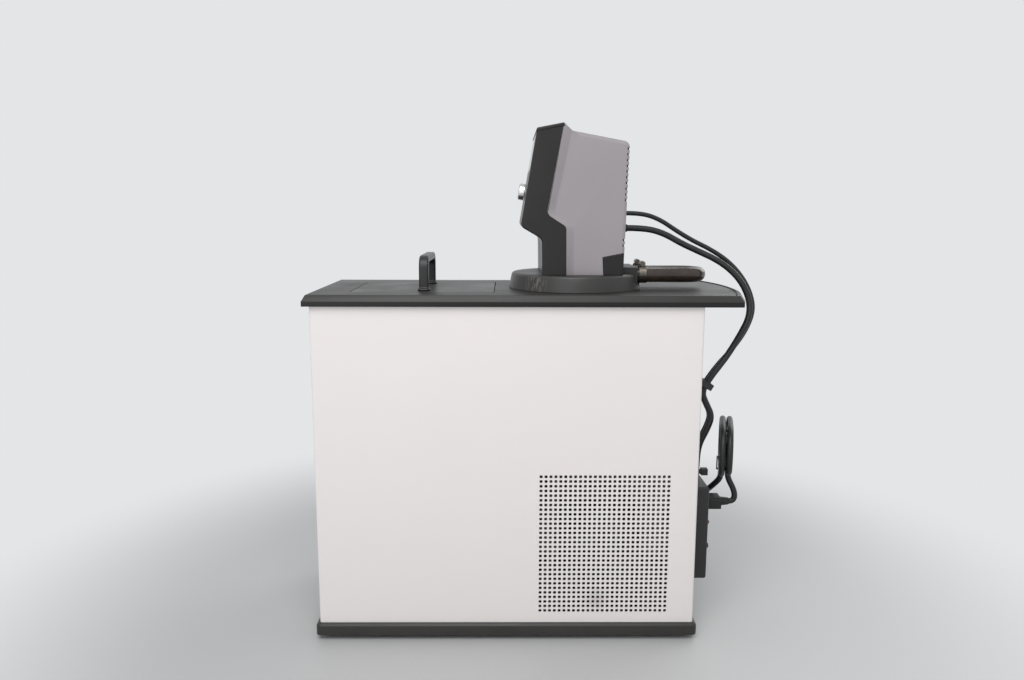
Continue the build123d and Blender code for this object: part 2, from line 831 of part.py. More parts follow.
def barb(y):
    """A ribbed hose tail: three cones on a tube."""
    x = swivel_x + port_rear
    body = bar_x(x - 1, x + barb_length, y, port_axis_z(), barb_r - 1)
    for i in range(3):
        at = Pos(x + 2.5 + 3.2 * i, y, port_axis_z()) * Rot(0, 90, 0)
        body += at * Cone(barb_r, barb_r - 1, 3.0)
    return body - bar_x(x, x + barb_length + 1, y, port_axis_z(), barb_r - 2.6)


def bypass_hose():
    """A U of rubber hose that joins the outlet to the inlet."""
    x0 = swivel_x + port_rear + 0.2
    y = port_pitch / 2
    z = port_axis_z()
    x1 = swivel_x + hose_reach - hose_r
    path = FilletPolyline((x0, -y, z), (x1, -y, z), (x1, y, z), (x0, y, z), radius=[y - 0.01, y - 0.01])
    at = Plane(origin=path @ 0, z_dir=path % 0)
    body = sweep(at * Circle(hose_r), path=path)
    for side in (-1, 1):
        body -= bar_x(x0 - 1, x0 + barb_length + 1, side * y, z, barb_r)
    return body


def hose_clamps():
    """A worm-drive band round each end of the hose, with its screw housing on top."""
    both = []
    x0 = swivel_x + port_rear + 3.5
    for side in (-1, 1):
        y = side * port_pitch / 2
        r = hose_r + clamp_wall
        band = bar_x(x0, x0 + clamp_width, y, port_axis_z(), r)
        screw = Pos(x0 + clamp_width / 2, y, port_axis_z() + r + 2)
        band += screw * Rot(90, 0, 0) * Cylinder(3.4, 12)
        both.append(band - bar_x(x0 - 1, x0 + clamp_width + 1, y, port_axis_z(), hose_r + 0.02))
    return both


# Pump, heater and probe

pump_z0 = tank_z0 + pump_above_bottom
pump_z1 = pump_z0 + pump_height


def pump_motor():
    body = post(swivel_x, 0, disc_z1, disc_z1 + 6, motor_r + 2)
    body += post(swivel_x, 0, disc_z1 + 6, disc_z1 + motor_height, motor_r)
    return body - post(swivel_x, 0, disc_z1 - 1, disc_z1 + motor_height * 0.5, shaft_r + 0.05)


def pump_shaft():
    return post(swivel_x, 0, pump_z0 + 6, disc_z1 + motor_height * 0.5 - 1, shaft_r)


def pump_column():
    """The steel tube that carries the pump under the disc, flanged at its top."""
    top = disc_z1 - disc_wall
    body = post(swivel_x, 0, pump_z1, top, column_r)
    body += post(swivel_x, 0, top - 3, top, column_r + 12)
    return body - post(swivel_x, 0, pump_z1 - 1, top + 1, column_r - column_wall)


def pump_housing():
    """A round volute, open below for its inlet, with a stub for the outlet pipe."""
    body = post(swivel_x, 0, pump_z0, pump_z1, pump_r)
    body -= post(swivel_x, 0, pump_z0 + 3, pump_z1 - 3, pump_r - 3)
    body -= post(swivel_x, 0, pump_z0 - 1, pump_z0 + 4, 9)
    body -= post(swivel_x, 0, pump_z1 - 4, pump_z1 + 1, shaft_r + 0.4)
    return body


def impeller():
    hub = post(swivel_x, 0, pump_z0 + 8, pump_z1 - 6, shaft_r + 3)
    body = hub + post(swivel_x, 0, pump_z0 + 8, pump_z0 + 10, impeller_r)
    for i in range(impeller_blades):
        blade = block(shaft_r + 2, impeller_r - 0.5, -0.9, 0.9, pump_z0 + 9, pump_z1 - 6)
        body += Pos(swivel_x, 0, 0) * Rot(0, 0, i * 360 / impeller_blades + 8) * blade
    return body - post(swivel_x, 0, pump_z0, pump_z1, shaft_r)


def heater_coil():
    """A bent tube heater: down, round the pump column in a square turn, and up again."""
    z0 = pump_z1 + 14
    top = disc_z1 - disc_wall
    r = heater_reach
    x = swivel_x
    legs = ((x - 44, 22, top), (x - 44, 22, z0), (x - 44, -r + 4, z0), (x + r - 8, -r + 4, z0 + 6),
            (x + r - 8, r - 4, z0 + 12), (x - 26, r - 4, z0 + 18), (x - 26, 30, z0 + 40), (x - 26, 30, top))
    body, _, _ = tube(legs, heater_r, [9, 9, 14, 14, 9, 5])
    return body


def temperature_probe():
    x, y = swivel_x - 20, -44
    top = disc_z1 - disc_wall
    body = post(x, y, top - probe_depth, top, probe_r)
    tip = body.edges().sort_by(Axis.Z)[0]
    return chamfer(tip, 1.5)


def pump_pipes():
    """Outlet and return pipes from the pump level up to the port block."""
    pipes = []
    top = disc_z0 + notch_floor
    x = swivel_x + pipe_x
    for y, z0 in ((-pipe_y, pump_z1 + outlet_above_pump), (pipe_y, pump_z1 + return_above_pump)):
        pipes.append(post(x, y, z0, top, pipe_r) - post(x, y, z0 - 1, top - 6, pipe_r - 1))
    return pipes


# Refrigeration unit

tray_inside = foot_height + tray_floor


def compressor_feet():
    half = grommet_pitch / 2
    return [(compressor_x + sx * half, sy * half) for sx in (-1, 1) for sy in (-1, 1)]


def compressor():
    """A hermetic shell of two drawn halves welded at the waist, on a plate with four feet."""
    z0 = tray_inside + grommet_height
    half = grommet_pitch / 2 + 11
    body = rounded_block(compressor_x - half, compressor_x + half, -half, half, z0,
                         z0 + compressor_foot, 10)
    z1 = z0 + compressor_foot
    shell = Pos(compressor_x, 0, z1 + compressor_height / 2) * Cylinder(compressor_r, compressor_height)
    shell = fillet(shell.edges().sort_by(Axis.Z)[-1], 26)
    waist = post(compressor_x, 0, z1 + compressor_height * 0.48, z1 + compressor_height * 0.48 + 4,
                 compressor_r + 3)
    return body + shell + waist


def compressor_grommets():
    return [post(x, y, tray_inside, tray_inside + grommet_height, grommet_r) for x, y in compressor_feet()]


def condenser():
    """A finned block: end plates and fins on the tubes that run across them."""
    x0, x1 = condenser_x, condenser_x + condenser_depth
    y = condenser_width / 2
    z0 = tray_inside
    pitch = (condenser_width - fin_thickness) / (condenser_fins - 1)
    body = None
    for i in range(condenser_fins):
        at = -y + i * pitch
        fin = block(x0, x1, at, at + fin_thickness, z0, z0 + condenser_height)
        body = fin if body is None else body + fin
    for i in range(5):
        z = z0 + 20 + i * (condenser_height - 40) / 4
        body += block(x0 + 12, x0 + 20, -y, y, z - 4, z + 4)
    return body


fan_x = condenser_x + condenser_depth + fan_gap + 14


def fan_shroud():
    """A sheet hood behind the condenser with a round opening for the fan."""
    x0 = condenser_x + condenser_depth + 0.3
    x1 = fan_x + 10
    y = condenser_width / 2 - 2
    z1 = tray_inside + condenser_height - 2
    body = block(x0, x1, -y, y, tray_inside, z1)
    body -= block(x0 - 1, x1 - 2, -y + 2, y - 2, tray_inside + 2, z1 - 2)
    return body - bar_x(x0 - 1, x1 + 1, 0, fan_centre_z(), fan_r + 3)


def fan_centre_z():
    return tray_inside + condenser_height / 2


def fan_blade():
    """A hub with pitched blades."""
    body = bar_x(fan_x - 6, fan_x + 6, 0, 0, fan_hub_r)
    for i in range(fan_blades):
        blade = Pos(0, 0, (fan_hub_r + fan_r) / 2 - 1) * Rot(0, 0, 28) * Box(2, 38, fan_r - fan_hub_r)
        body += Rot(i * 360 / fan_blades, 0, 0) * (Pos(fan_x, 0, 0) * blade)
    body = Pos(0, 0, fan_centre_z()) * body
    return body - bar_x(fan_x - 7, fan_x + 7, 0, fan_centre_z(), 3)


def fan_motor():
    """The fan's motor on a strut across the shroud, with its shaft in the hub."""
    x0 = fan_x + 12
    z = fan_centre_z()
    body = bar_x(x0, x0 + fan_motor_depth, 0, z, fan_motor_r)
    body += bar_x(fan_x - 6, x0 + 1, 0, z, 2.95)
    strut_z = tray_inside
    return body + block(x0 + 6, x0 + 9, -14, 14, strut_z, z)


def filter_drier():
    body = bar_x(drier_x - drier_length / 2, drier_x + drier_length / 2, drier_y, drier_z, drier_r)
    body = chamfer(body.edges().filter_by(GeomType.CIRCLE), 5)
    saddle = block(drier_x - 5, drier_x + 5, drier_y - 7, drier_y + 7, tray_inside, drier_z)
    return body + saddle


def refrigerant_lines():
    """Copper lines: discharge to the condenser, liquid to the drier and coil, suction back."""
    cond_x, cond_y = condenser_x + 16, condenser_width / 2 + line_gap
    side_y = cab_y - sheet - copper_r - 3
    low = tray_inside + 26
    discharge = [compressor_side(225, line_gap), compressor_side(225, 20), (compressor_x - 86, -side_y + 4, low + 36),
                 (drier_x, -side_y, low + 18), (condenser_x + 68, -side_y, low + 14), (cond_x, -side_y, low),
                 (cond_x, -cond_y, low)]
    drier_front = drier_x - drier_length / 2 - line_gap
    drier_rear = drier_x + drier_length / 2 + line_gap
    liquid = [(cond_x, cond_y, low), (cond_x, side_y, low), (condenser_x + 63, side_y, low + 6),
              (drier_front - 25, drier_y, drier_z), (drier_front, drier_y, drier_z)]
    coil_y = tank_width / 2 + tank_wall + 2 * line_r + 0.4 + line_gap
    levels = coil_levels()
    end_bend = min(6, 0.9 * (side_y - coil_y))
    capillary = [(drier_rear, drier_y, drier_z), (drier_rear + 20, drier_y, drier_z),
                 (liquid_x, side_y, drier_z + 24), (liquid_x, side_y, levels[-1]),
                 (liquid_x, coil_y, levels[-1])]
    suction = [(suction_x, coil_y, levels[0]), (suction_x, side_y, levels[0]), (suction_x, side_y, 130),
               compressor_side(120, 20), compressor_side(120, line_gap)]
    runs = ((discharge, [10, 20, 30, 25, 5]), (liquid, [5, 15, 12]), (capillary, [8, 15, end_bend]),
            (suction, [end_bend, 14, 8]))
    return [tube(points, copper_r, radii)[0] for points, radii in runs]


def compressor_side(angle, away):
    """A point off the compressor's wall, where a line meets it square."""
    r = compressor_r + away
    z = tray_inside + grommet_height + compressor_foot + compressor_height * 0.62
    return (compressor_x + r * cos(radians(angle)), r * sin(radians(angle)), z)


# Rear fittings

def rear_box():
    """The moulded cover over the mains wiring, open to the panel behind it."""
    x0, x1 = cab_x1, box_x1
    z0, z1 = box_bottom, box_bottom + box_height
    body = block(x0, x1, box_near_y, box_far_y, z0, z1)
    edges = [e for e in body.edges() if e.center().X > x1 - 0.1 or abs(e.length - box_depth) < 0.1]
    body = fillet(edges, 3)
    w = box_wall
    body -= block(x0 - 1, x1 - w, box_near_y + w, box_far_y - w, z0 + w, z1 - w)
    body -= block(x0, x1 + 1, socket_y - socket_width / 2, socket_y + socket_width / 2,
                  socket_z - socket_height / 2, socket_z + socket_height / 2)
    body -= block(x0 + 5, x1 + 1, rocker_y - rocker_width / 2, rocker_y + rocker_width / 2,
                  rocker_z - rocker_height / 2, rocker_z + rocker_height / 2)
    body -= rocker_pin(swivel_clearance, 0.2)
    body += bar_x(x1 - box_wall, x1 + breaker_collar, breaker_y, breaker_z, breaker_r)
    return body - bar_x(x0 + 5, x1 + 5, breaker_y, breaker_z, button_r + swivel_clearance)


def mains_socket():
    """The appliance inlet: a frame in the box with three pins in its well."""
    y, z = socket_y, socket_z
    w, h = socket_width / 2 - 0.2, socket_height / 2 - 0.2
    x1 = box_x1
    body = block(x1 - 17, x1, y - w, y + w, z - h, z + h)
    body += block(x1, x1 + 1.5, y - w - 3, y + w + 3, z - h - 3, z + h + 3)
    body -= block(x1 - 15, x1 + 2, y - w + 1.5, y + w - 1.5, z - h + 1.5, z + h - 1.5)
    for dy, dz in ((-7, -1), (7, -1), (0, 2)):
        body += block(x1 - 16, x1 - 1.5, y + dy - 1, y + dy + 1, z + dz - 2, z + dz + 2)
    return body


def rocker_pivot_x():
    return box_x1 - 1.5


def rocker_pin(round_it, beyond):
    """The rocker's pin, or with clearances the hole for it in the box's face."""
    pin = Cylinder(rocker_pin_r + round_it, rocker_width + 2 * (rocker_pin_reach + beyond))
    return Pos(rocker_pivot_x(), rocker_y, rocker_z) * Rot(90, 0, 0) * pin


def rocker_switch():
    """A rocker cap, high at its top end at rest, that tips about a pin across its width."""
    w = rocker_width / 2 - rocker_gap
    h = rocker_height / 2 - 2.6
    tip = radians(rocker_swing / 2)
    face = Polyline((-4, -h + 1.5), (-4, h - 1.5), (rocker_depth, h), (rocker_depth - 1.6, 0),
                    (rocker_depth, -h), close=True)
    at = Plane((rocker_pivot_x(), rocker_y, rocker_z), x_dir=(1, 0, 0), z_dir=(0, -1, 0))
    cap = extrude(at * (Rot(0, 0, -degrees(tip)) * make_face(face)), w, both=True)
    return cap + rocker_pin(0, 0)


def breaker_button():
    x1 = box_x1 + breaker_collar + button_proud
    return bar_x(x1 - 10, x1, breaker_y, breaker_z, button_r)


def cable_clip():
    """A clip that holds both head cords off the rear panel on a short foot."""
    at = Pos(cable_clip_x, cable_clip_y, cable_clip_z) * Rot(0, clip_tilt, 0)
    loop = at * Box(clip_opening + 2 * clip_wall, clip_window + 2 * clip_wall, clip_length)
    foot = block(cab_x1, cable_clip_x - clip_opening / 2, cable_clip_y - 7, cable_clip_y + 7,
                 cable_clip_z - 2, cable_clip_z + 6)
    window = at * Box(clip_opening, clip_window, clip_length + 12)
    return loop + foot - window


def port_cap():
    """A small square rubber cap on a stem over an unused port in the rear panel."""
    half = port_cap_size / 2
    body = block(cab_x1 + port_cap_proud - 8, cab_x1 + port_cap_proud, port_cap_y - half,
                 port_cap_y + half, port_cap_z - half, port_cap_z + half)
    return body + bar_x(cab_x1, cab_x1 + port_cap_proud - 7, port_cap_y, port_cap_z, 3)


# Cords


def cord_foot(y):
    """The foot of a head cord's route: through the clip, out in a bow and down into the box."""
    x, z = cable_clip_x, cable_clip_z
    return [(x + 5.7, y, z + 9.7), (x - 5.7, y, z - 9.7), (x + 1.8, y, 289), (x + 9.3, y, 274),
            (x + 3.3, y, 256), (x - 6.2, y, 237), (x - 8.2, y, 213),
            (x - 8.2, y, box_bottom + box_height)]


relief_end_x = rear_x(75.0) + plate_thickness + 7.0


def head_cord_upper():
    y = cable_clip_y + 4.5
    return cord("head_cord_upper", [
        (relief_end_x, 4, disc_z1 + 75.0), (147, 4, disc_z1 + 75.0), (170, 4, 519.5), (191, 3, 505.5),
        (212, 1, 493), (234, -2, 482.5), (255, -6, 469), (271.5, -11, 452), (283.5, -17, 431),
        (288.5, -23, 407), (279, -30, 383), (262, -36, 360), (243, -42, 342),
        *cord_foot(y)], thin_cord)


def head_cord_lower():
    y = cable_clip_y - 4.5
    return cord("head_cord_lower", [
        (rear_x(56.2) + plate_thickness + 8.0, -5, disc_z1 + 56.2), (149, -5, disc_z1 + 56.2),
        (173, -6, 502.5), (195, -8, 490), (218, -11, 479.5), (240, -15, 469.5), (258, -20, 456.5),
        (272, -25, 440), (280.5, -30, 419), (279.5, -36, 398), (267, -42, 376), (251, -48, 352),
        (239, -53, 338), *cord_foot(y)], thick_cord)


def mains_connector():
    """The moulded connector in the inlet, with its tapered relief."""
    x0 = box_x1 + 1.8
    y, z = socket_y, socket_z
    body = block(x0, x0 + 20, y - 12, y + 12, z - 7.5, z + 7.5)
    body = fillet(body.edges().filter_by(Axis.X), 3)
    cone = Pos(x0 + 20 + 6, y, z) * Rot(0, 90, 0) * Cone(mains_cord / 2 + 2.2, mains_cord / 2 + 0.8, 12)
    return body + cone


def mains_cord_lead():
    x0 = box_x1 + 1.8 + 32
    return cord("mains_cord_lead", [
        (x0, socket_y, socket_z), (x0 + 7.5, socket_y, socket_z),
        (x0 + 8.0, socket_y + 0.5, socket_z + 13), coil_foot(4.5, 8), coil_foot(4.5)], mains_cord)


def coil_foot(shift, below=0.0):
    """A point on or under the underside of the coil, shifted across its thickness."""
    a = radians(coil_turn)
    return (coil_centre[0] + shift * cos(a), coil_centre[1] - shift * sin(a),
            coil_centre[2] - coil_height / 2 - below)


def mains_coil():
    """The outer shape of the mains cord's turns, tied and standing on edge."""
    r = coil_height / 2 - 1
    ring = RectangleRounded(coil_depth_length, coil_height, r)
    hole = RectangleRounded(coil_depth_length - 2 * coil_bundle, coil_height - 2 * coil_bundle,
                            r - coil_bundle)
    a = radians(coil_turn)
    at = Plane(origin=coil_centre, x_dir=(sin(a), cos(a), 0), z_dir=(cos(a), -sin(a), 0))
    body = extrude(at * (ring - hole), coil_thickness / 2, both=True)
    return chamfer(body.faces().filter_by(lambda f: abs(f.normal_at().Z) < 0.01
                                          and f.area > 3000).edges(), 3.5)


def cord_tie():
    """A plastic tie round the foot of the coil."""
    a = radians(coil_turn)
    x, y, z = coil_centre
    at = Plane(origin=(x, y, z - coil_height / 2 + coil_bundle / 2), x_dir=(cos(a), -sin(a), 0),
               z_dir=(sin(a), cos(a), 0))
    hole = Rectangle(coil_thickness + 0.6, coil_bundle + 0.6)
    band = Rectangle(coil_thickness + 3.4, coil_bundle + 3.4) - hole
    body = extrude(at * (Pos(0, 0, 12) * band), 5)
    return body


def mains_cord_tail():
    return cord("mains_cord_tail", [
        coil_foot(-4.5), coil_foot(-4.5, 9), (244, -31, 175), (238.5, -17, 162), (236.5, 4, 148),
        (234, 28, 131), (227, 46, 108), (221, 56, 78), (219.5, 62, 46), (221, 66, 22),
        (plug_x, 78, plug_height / 2), (plug_x, plug_y, plug_height / 2)], mains_cord)


def mains_plug():
    """The three-pin plug lying on the floor close behind the cabinet."""
    x, y0 = plug_x, plug_y
    body = block(x - 11, x + 11, y0, y0 + 34, 0, plug_height)
    body = fillet(body.edges().filter_by(Axis.Y), 4)
    body += block(x - 8.5, x - 7, y0 + 33, y0 + 50, 7, 13)
    body += block(x + 7, x + 8.5, y0 + 33, y0 + 50, 7, 13)
    return body


def export(name, shape):
    """Writes one piece, or a group of like pieces, to its own file."""
    if isinstance(shape, list):
        shape = Compound([solid for piece in shape for solid in piece.solids()])
    export_step(shape, f"parts/{name}.step")


os.makedirs("parts", exist_ok=True)
pieces = {
    "base_tray": base_tray(),
    "feet": feet(),
    "near_side_panel": near_side_panel(),
    "far_side_panel": side_panel(1),
    "front_panel": front_panel(),
    "rear_panel": rear_panel(),
    "deck": deck(),
    "swivel_ring": swivel_ring(),
    "bath_tank": bath_tank(),
    "tank_insulation": tank_insulation(),
    "evaporator_coil": evaporator_coil(),
    "bath_lid": bath_lid(),
    "lid_handle": lid_handle(),
    "swivel_disc": swivel_disc(),
    "port_block": port_block(),
    "bypass_hose": bypass_hose(),
    "hose_clamps": hose_clamps(),
    "head_bezel": head_bezel(),
    "head_housing": head_housing(),
    "rear_corner_block": rear_corner_block(),
    "connector_plate": connector_plate(),
    "strain_reliefs": strain_reliefs(),
    "display_lens": display_lens(),
    "control_board": control_board(),
    "encoder_body": encoder_body(),
    "encoder_rotor": encoder_rotor(),
    "encoder_spindle": encoder_spindle(),
    "knob": knob(),
    "pump_motor": pump_motor(),
    "pump_shaft": pump_shaft(),
    "pump_column": pump_column(),
    "pump_housing": pump_housing(),
    "impeller": impeller(),
    "heater_coil": heater_coil(),
    "temperature_probe": temperature_probe(),
    "pump_pipes": pump_pipes(),
    "compressor": compressor(),
    "compressor_grommets": compressor_grommets(),
    "condenser": condenser(),
    "fan_shroud": fan_shroud(),
    "fan_blade": fan_blade(),
    "fan_motor": fan_motor(),
    "filter_drier": filter_drier(),
    "refrigerant_lines": refrigerant_lines(),
    "rear_box": rear_box(),
    "mains_socket": mains_socket(),
    "rocker_switch": rocker_switch(),
    "breaker_button": breaker_button(),
    "cable_clip": cable_clip(),
    "port_cap": port_cap(),
    "head_cord_upper": head_cord_upper(),
    "head_cord_lower": head_cord_lower(),
    "mains_connector": mains_connector(),
    "mains_cord_lead": mains_cord_lead(),
    "mains_coil": mains_coil(),
    "cord_tie": cord_tie(),
    "mains_cord_tail": mains_cord_tail(),
    "mains_plug": mains_plug(),
    "key_power": key(-key_pitch_y),
    "key_menu": key(key_pitch_y),
}
for name, shape in pieces.items():
    export(name, shape)
print(len(pieces), "pieces")
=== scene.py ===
import json
import math
import bpy
from mathutils import Matrix, Vector

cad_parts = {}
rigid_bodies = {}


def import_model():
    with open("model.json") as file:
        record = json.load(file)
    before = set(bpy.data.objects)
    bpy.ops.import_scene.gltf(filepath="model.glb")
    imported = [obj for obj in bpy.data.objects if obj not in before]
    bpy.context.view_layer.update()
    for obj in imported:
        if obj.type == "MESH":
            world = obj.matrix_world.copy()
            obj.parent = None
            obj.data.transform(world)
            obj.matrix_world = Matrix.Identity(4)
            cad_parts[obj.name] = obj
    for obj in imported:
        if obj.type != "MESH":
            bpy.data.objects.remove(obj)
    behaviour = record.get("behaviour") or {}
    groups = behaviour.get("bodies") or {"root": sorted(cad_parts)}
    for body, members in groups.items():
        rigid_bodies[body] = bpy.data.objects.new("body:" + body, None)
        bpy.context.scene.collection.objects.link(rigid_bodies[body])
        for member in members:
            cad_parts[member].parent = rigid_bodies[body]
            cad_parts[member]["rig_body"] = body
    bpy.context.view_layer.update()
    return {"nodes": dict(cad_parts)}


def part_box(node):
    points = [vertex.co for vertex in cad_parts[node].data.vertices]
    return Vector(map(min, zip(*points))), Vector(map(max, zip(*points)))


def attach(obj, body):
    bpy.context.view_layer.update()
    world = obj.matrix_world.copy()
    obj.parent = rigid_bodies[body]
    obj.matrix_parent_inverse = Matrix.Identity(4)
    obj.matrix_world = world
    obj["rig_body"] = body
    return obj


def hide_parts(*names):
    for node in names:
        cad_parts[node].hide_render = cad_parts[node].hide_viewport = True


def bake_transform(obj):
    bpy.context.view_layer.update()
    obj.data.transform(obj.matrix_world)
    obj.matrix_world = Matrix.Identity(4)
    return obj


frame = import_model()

# The camera stands a little above the deck and looks along the bench at the side of the
# cabinet, with the lens and the small tilt that the photograph was taken with.
camera = bpy.data.cameras.new("camera")
camera.sensor_width = 36.0
camera.lens = 28.29
camera.clip_start = 0.01
stand = bpy.data.objects.new("camera", camera)
bpy.context.scene.collection.objects.link(stand)
look_down, look_right, lean = 0.15942, 0.00814, 0.00312
stand.matrix_world = (Matrix.Translation((-0.02932, -1.04425, 0.53036))
                      @ Matrix.Rotation(-look_right, 4, "Z")
                      @ Matrix.Rotation(math.pi / 2 - look_down, 4, "X")
                      @ Matrix.Rotation(lean, 4, "Z"))
bpy.context.scene.camera = stand
bpy.context.scene.view_settings.view_transform = "Standard"


# The floor is a pale bench. Away from the object it fades into the plain pale backdrop,
# which only the camera, gloss and glass see; the object is lit by the soft world and lamps.
wall_colour = (0.77, 0.785, 0.80, 1)
bench_colour = (0.50, 0.50, 0.495, 1)
fade_from, fade_to = 0.42, 0.85
floor_reach, floor_drop = 6, 0.0003
bpy.ops.object.select_all(action="DESELECT")
bpy.ops.mesh.primitive_circle_add(vertices=64, radius=floor_reach, fill_type="NGON",
                                  location=(0, 0, -floor_drop))
floor = bpy.context.object
floor.name = "floor"
bench = bpy.data.materials.new("bench")
bench.use_nodes = True
nodes, links = bench.node_tree.nodes, bench.node_tree.links
shader = nodes["Principled BSDF"]
shader.inputs["Base Color"].default_value = bench_colour
shader.inputs["Roughness"].default_value = 0.42
place = nodes.new("ShaderNodeTexCoord")
away = nodes.new("ShaderNodeVectorMath")
away.operation = "LENGTH"
fade = nodes.new("ShaderNodeMapRange")
fade.interpolation_type = "SMOOTHSTEP"
fade.inputs["From Min"].default_value = fade_from
fade.inputs["From Max"].default_value = fade_to
glow = nodes.new("ShaderNodeEmission")
glow.inputs["Color"].default_value = wall_colour
mix = nodes.new("ShaderNodeMixShader")
links.new(place.outputs["Object"], away.inputs[0])
links.new(away.outputs["Value"], fade.inputs["Value"])
links.new(fade.outputs["Result"], mix.inputs["Fac"])
links.new(shader.outputs["BSDF"], mix.inputs[1])
links.new(glow.outputs["Emission"], mix.inputs[2])
links.new(mix.outputs["Shader"], nodes["Material Output"].inputs["Surface"])
floor.data.materials.append(bench)

world = bpy.data.worlds.new("studio")
bpy.context.scene.world = world
world.use_nodes = True
nodes, links = world.node_tree.nodes, world.node_tree.links
soft = nodes["Background"]
soft.inputs["Color"].default_value = (0.93, 0.96, 1.0, 1)
soft.inputs["Strength"].default_value = 0.55
backdrop = nodes.new("ShaderNodeBackground")
backdrop.inputs["Color"].default_value = wall_colour
ray = nodes.new("ShaderNodeLightPath")
seen = nodes.new("ShaderNodeMath")
seen.operation = "MAXIMUM"
seen_or_clear = nodes.new("ShaderNodeMath")
seen_or_clear.operation = "MAXIMUM"
mix = nodes.new("ShaderNodeMixShader")
links.new(ray.outputs["Is Camera Ray"], seen.inputs[0])
links.new(ray.outputs["Is Glossy Ray"], seen.inputs[1])
links.new(seen.outputs["Value"], seen_or_clear.inputs[0])
links.new(ray.outputs["Is Transmission Ray"], seen_or_clear.inputs[1])
links.new(seen_or_clear.outputs["Value"], mix.inputs["Fac"])
links.new(soft.outputs["Background"], mix.inputs[1])
links.new(backdrop.outputs["Background"], mix.inputs[2])
links.new(mix.outputs["Shader"], nodes["World Output"].inputs["Surface"])

lamp_aim = Vector((0, 0, 0.3))
for name, spot, size, power in (("lamp_over", (-0.2, -1.35, 2.1), 1.7, 27),
                                ("lamp_front", (-0.8, -2.1, 0.8), 1.8, 7),
                                ("lamp_rear", (1.4, 1.3, 1.5), 1.6, 12)):
    lamp = bpy.data.lights.new(name, "AREA")
    lamp.shape = "DISK"
    lamp.size = size
    lamp.energy = power
    holder = bpy.data.objects.new(name, lamp)
    bpy.context.scene.collection.objects.link(holder)
    holder.location = spot
    towards = lamp_aim - Vector(spot)
    holder.rotation_euler = towards.to_track_quat("-Z", "Y").to_euler()


# The base tray: a shallow pan of black painted sheet with a bevelled upper edge, which
# carries the panels and the refrigeration unit. Its paint is satin and a little dusty.
def surface(name, colour, second, roughness, spread=0.06, patch=22.0, grain=1100.0,
            depth=0.00003, metallic=0.0, stretch=(1, 1, 1), shine=0.5):
    """A finish with slow patches between two colours, uneven gloss and a fine grain."""
    mat = bpy.data.materials.new(name)
    mat.use_nodes = True
    nodes, links = mat.node_tree.nodes, mat.node_tree.links
    shader = nodes["Principled BSDF"]
    shader.inputs["Metallic"].default_value = metallic
    shader.inputs["Specular IOR Level"].default_value = shine
    place = nodes.new("ShaderNodeTexCoord")
    turn = nodes.new("ShaderNodeMapping")
    turn.inputs["Scale"].default_value = stretch
    patches = nodes.new("ShaderNodeTexNoise")
    patches.inputs["Scale"].default_value = patch
    patches.inputs["Detail"].default_value = 5
    tint = nodes.new("ShaderNodeMix")
    tint.name = "tint"
    tint.data_type = "RGBA"
    tint.inputs[6].default_value = (*colour, 1)
    tint.inputs[7].default_value = (*second, 1)
    gloss = nodes.new("ShaderNodeMapRange")
    gloss.inputs["From Min"].default_value = 0.3
    gloss.inputs["From Max"].default_value = 0.7
    gloss.inputs["To Min"].default_value = roughness - spread
    gloss.inputs["To Max"].default_value = roughness + spread
    fine = nodes.new("ShaderNodeTexNoise")
    fine.inputs["Scale"].default_value = grain
    fine.inputs["Detail"].default_value = 2
    bump = nodes.new("ShaderNodeBump")
    bump.inputs["Distance"].default_value = depth
    links.new(place.outputs["Object"], turn.inputs["Vector"])
    for texture in (patches, fine):
        links.new(turn.outputs["Vector"], texture.inputs["Vector"])
    links.new(patches.outputs["Fac"], tint.inputs[0])
    links.new(patches.outputs["Fac"], gloss.inputs["Value"])
    links.new(fine.outputs["Fac"], bump.inputs["Height"])
    links.new(tint.outputs[2], shader.inputs["Base Color"])
    links.new(gloss.outputs["Result"], shader.inputs["Roughness"])
    links.new(bump.outputs["Normal"], shader.inputs["Normal"])
    return mat


def dress(mat, *pieces):
    """Gives pieces, or CAD nodes by name, one material."""
    for piece in pieces:
        mesh = (frame["nodes"][piece] if isinstance(piece, str) else piece).data
        mesh.materials.clear()
        mesh.materials.append(mat)


def only(piece):
    """Selects one object alone and makes it the active one."""
    bpy.ops.object.select_all(action="DESELECT")
    piece.select_set(True)
    bpy.context.view_layer.objects.active = piece


def apply(piece, kind, **settings):
    """Adds a modifier with these settings and applies it."""
    only(piece)
    modifier = piece.modifiers.new(kind.lower(), kind)
    for key, value in settings.items():
        setattr(modifier, key, value)
    bpy.ops.object.modifier_apply(modifier=modifier.name)


def stands_for(piece, *names):
    """Puts a finished piece in the place of CAD nodes: on their body, with the nodes hidden."""
    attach(piece, frame["nodes"][names[0]]["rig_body"])
    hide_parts(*names)


flat_angle, edge_angle, smooth_angle = math.radians(0.03), math.radians(24), math.radians(20)


def softened(name, width, mat):
    """A copy of a CAD node with the small round that moulding or folding leaves on its edges."""
    piece = bpy.data.objects.new(name + "_soft", frame["nodes"][name].data.copy())
    bpy.context.scene.collection.objects.link(piece)
    only(piece)
    bpy.ops.mesh.customdata_custom_splitnormals_clear()
    bpy.ops.object.mode_set(mode="EDIT")
    bpy.ops.mesh.select_all(action="SELECT")
    bpy.ops.mesh.remove_doubles(threshold=0.00001)
    bpy.ops.mesh.dissolve_limited(angle_limit=flat_angle)
    bpy.ops.object.mode_set(mode="OBJECT")
    apply(piece, "BEVEL", width=width, segments=2, limit_method="ANGLE",
          angle_limit=edge_angle, use_clamp_overlap=False)
    bpy.ops.object.shade_smooth_by_angle(angle=smooth_angle)
    dress(mat, piece)
    stands_for(piece, name)
    return piece


tray_paint = surface("tray_paint", (0.024, 0.023, 0.021), (0.04, 0.038, 0.035), 0.4, shine=0.35)
softened("base_tray", 0.0007, tray_paint)


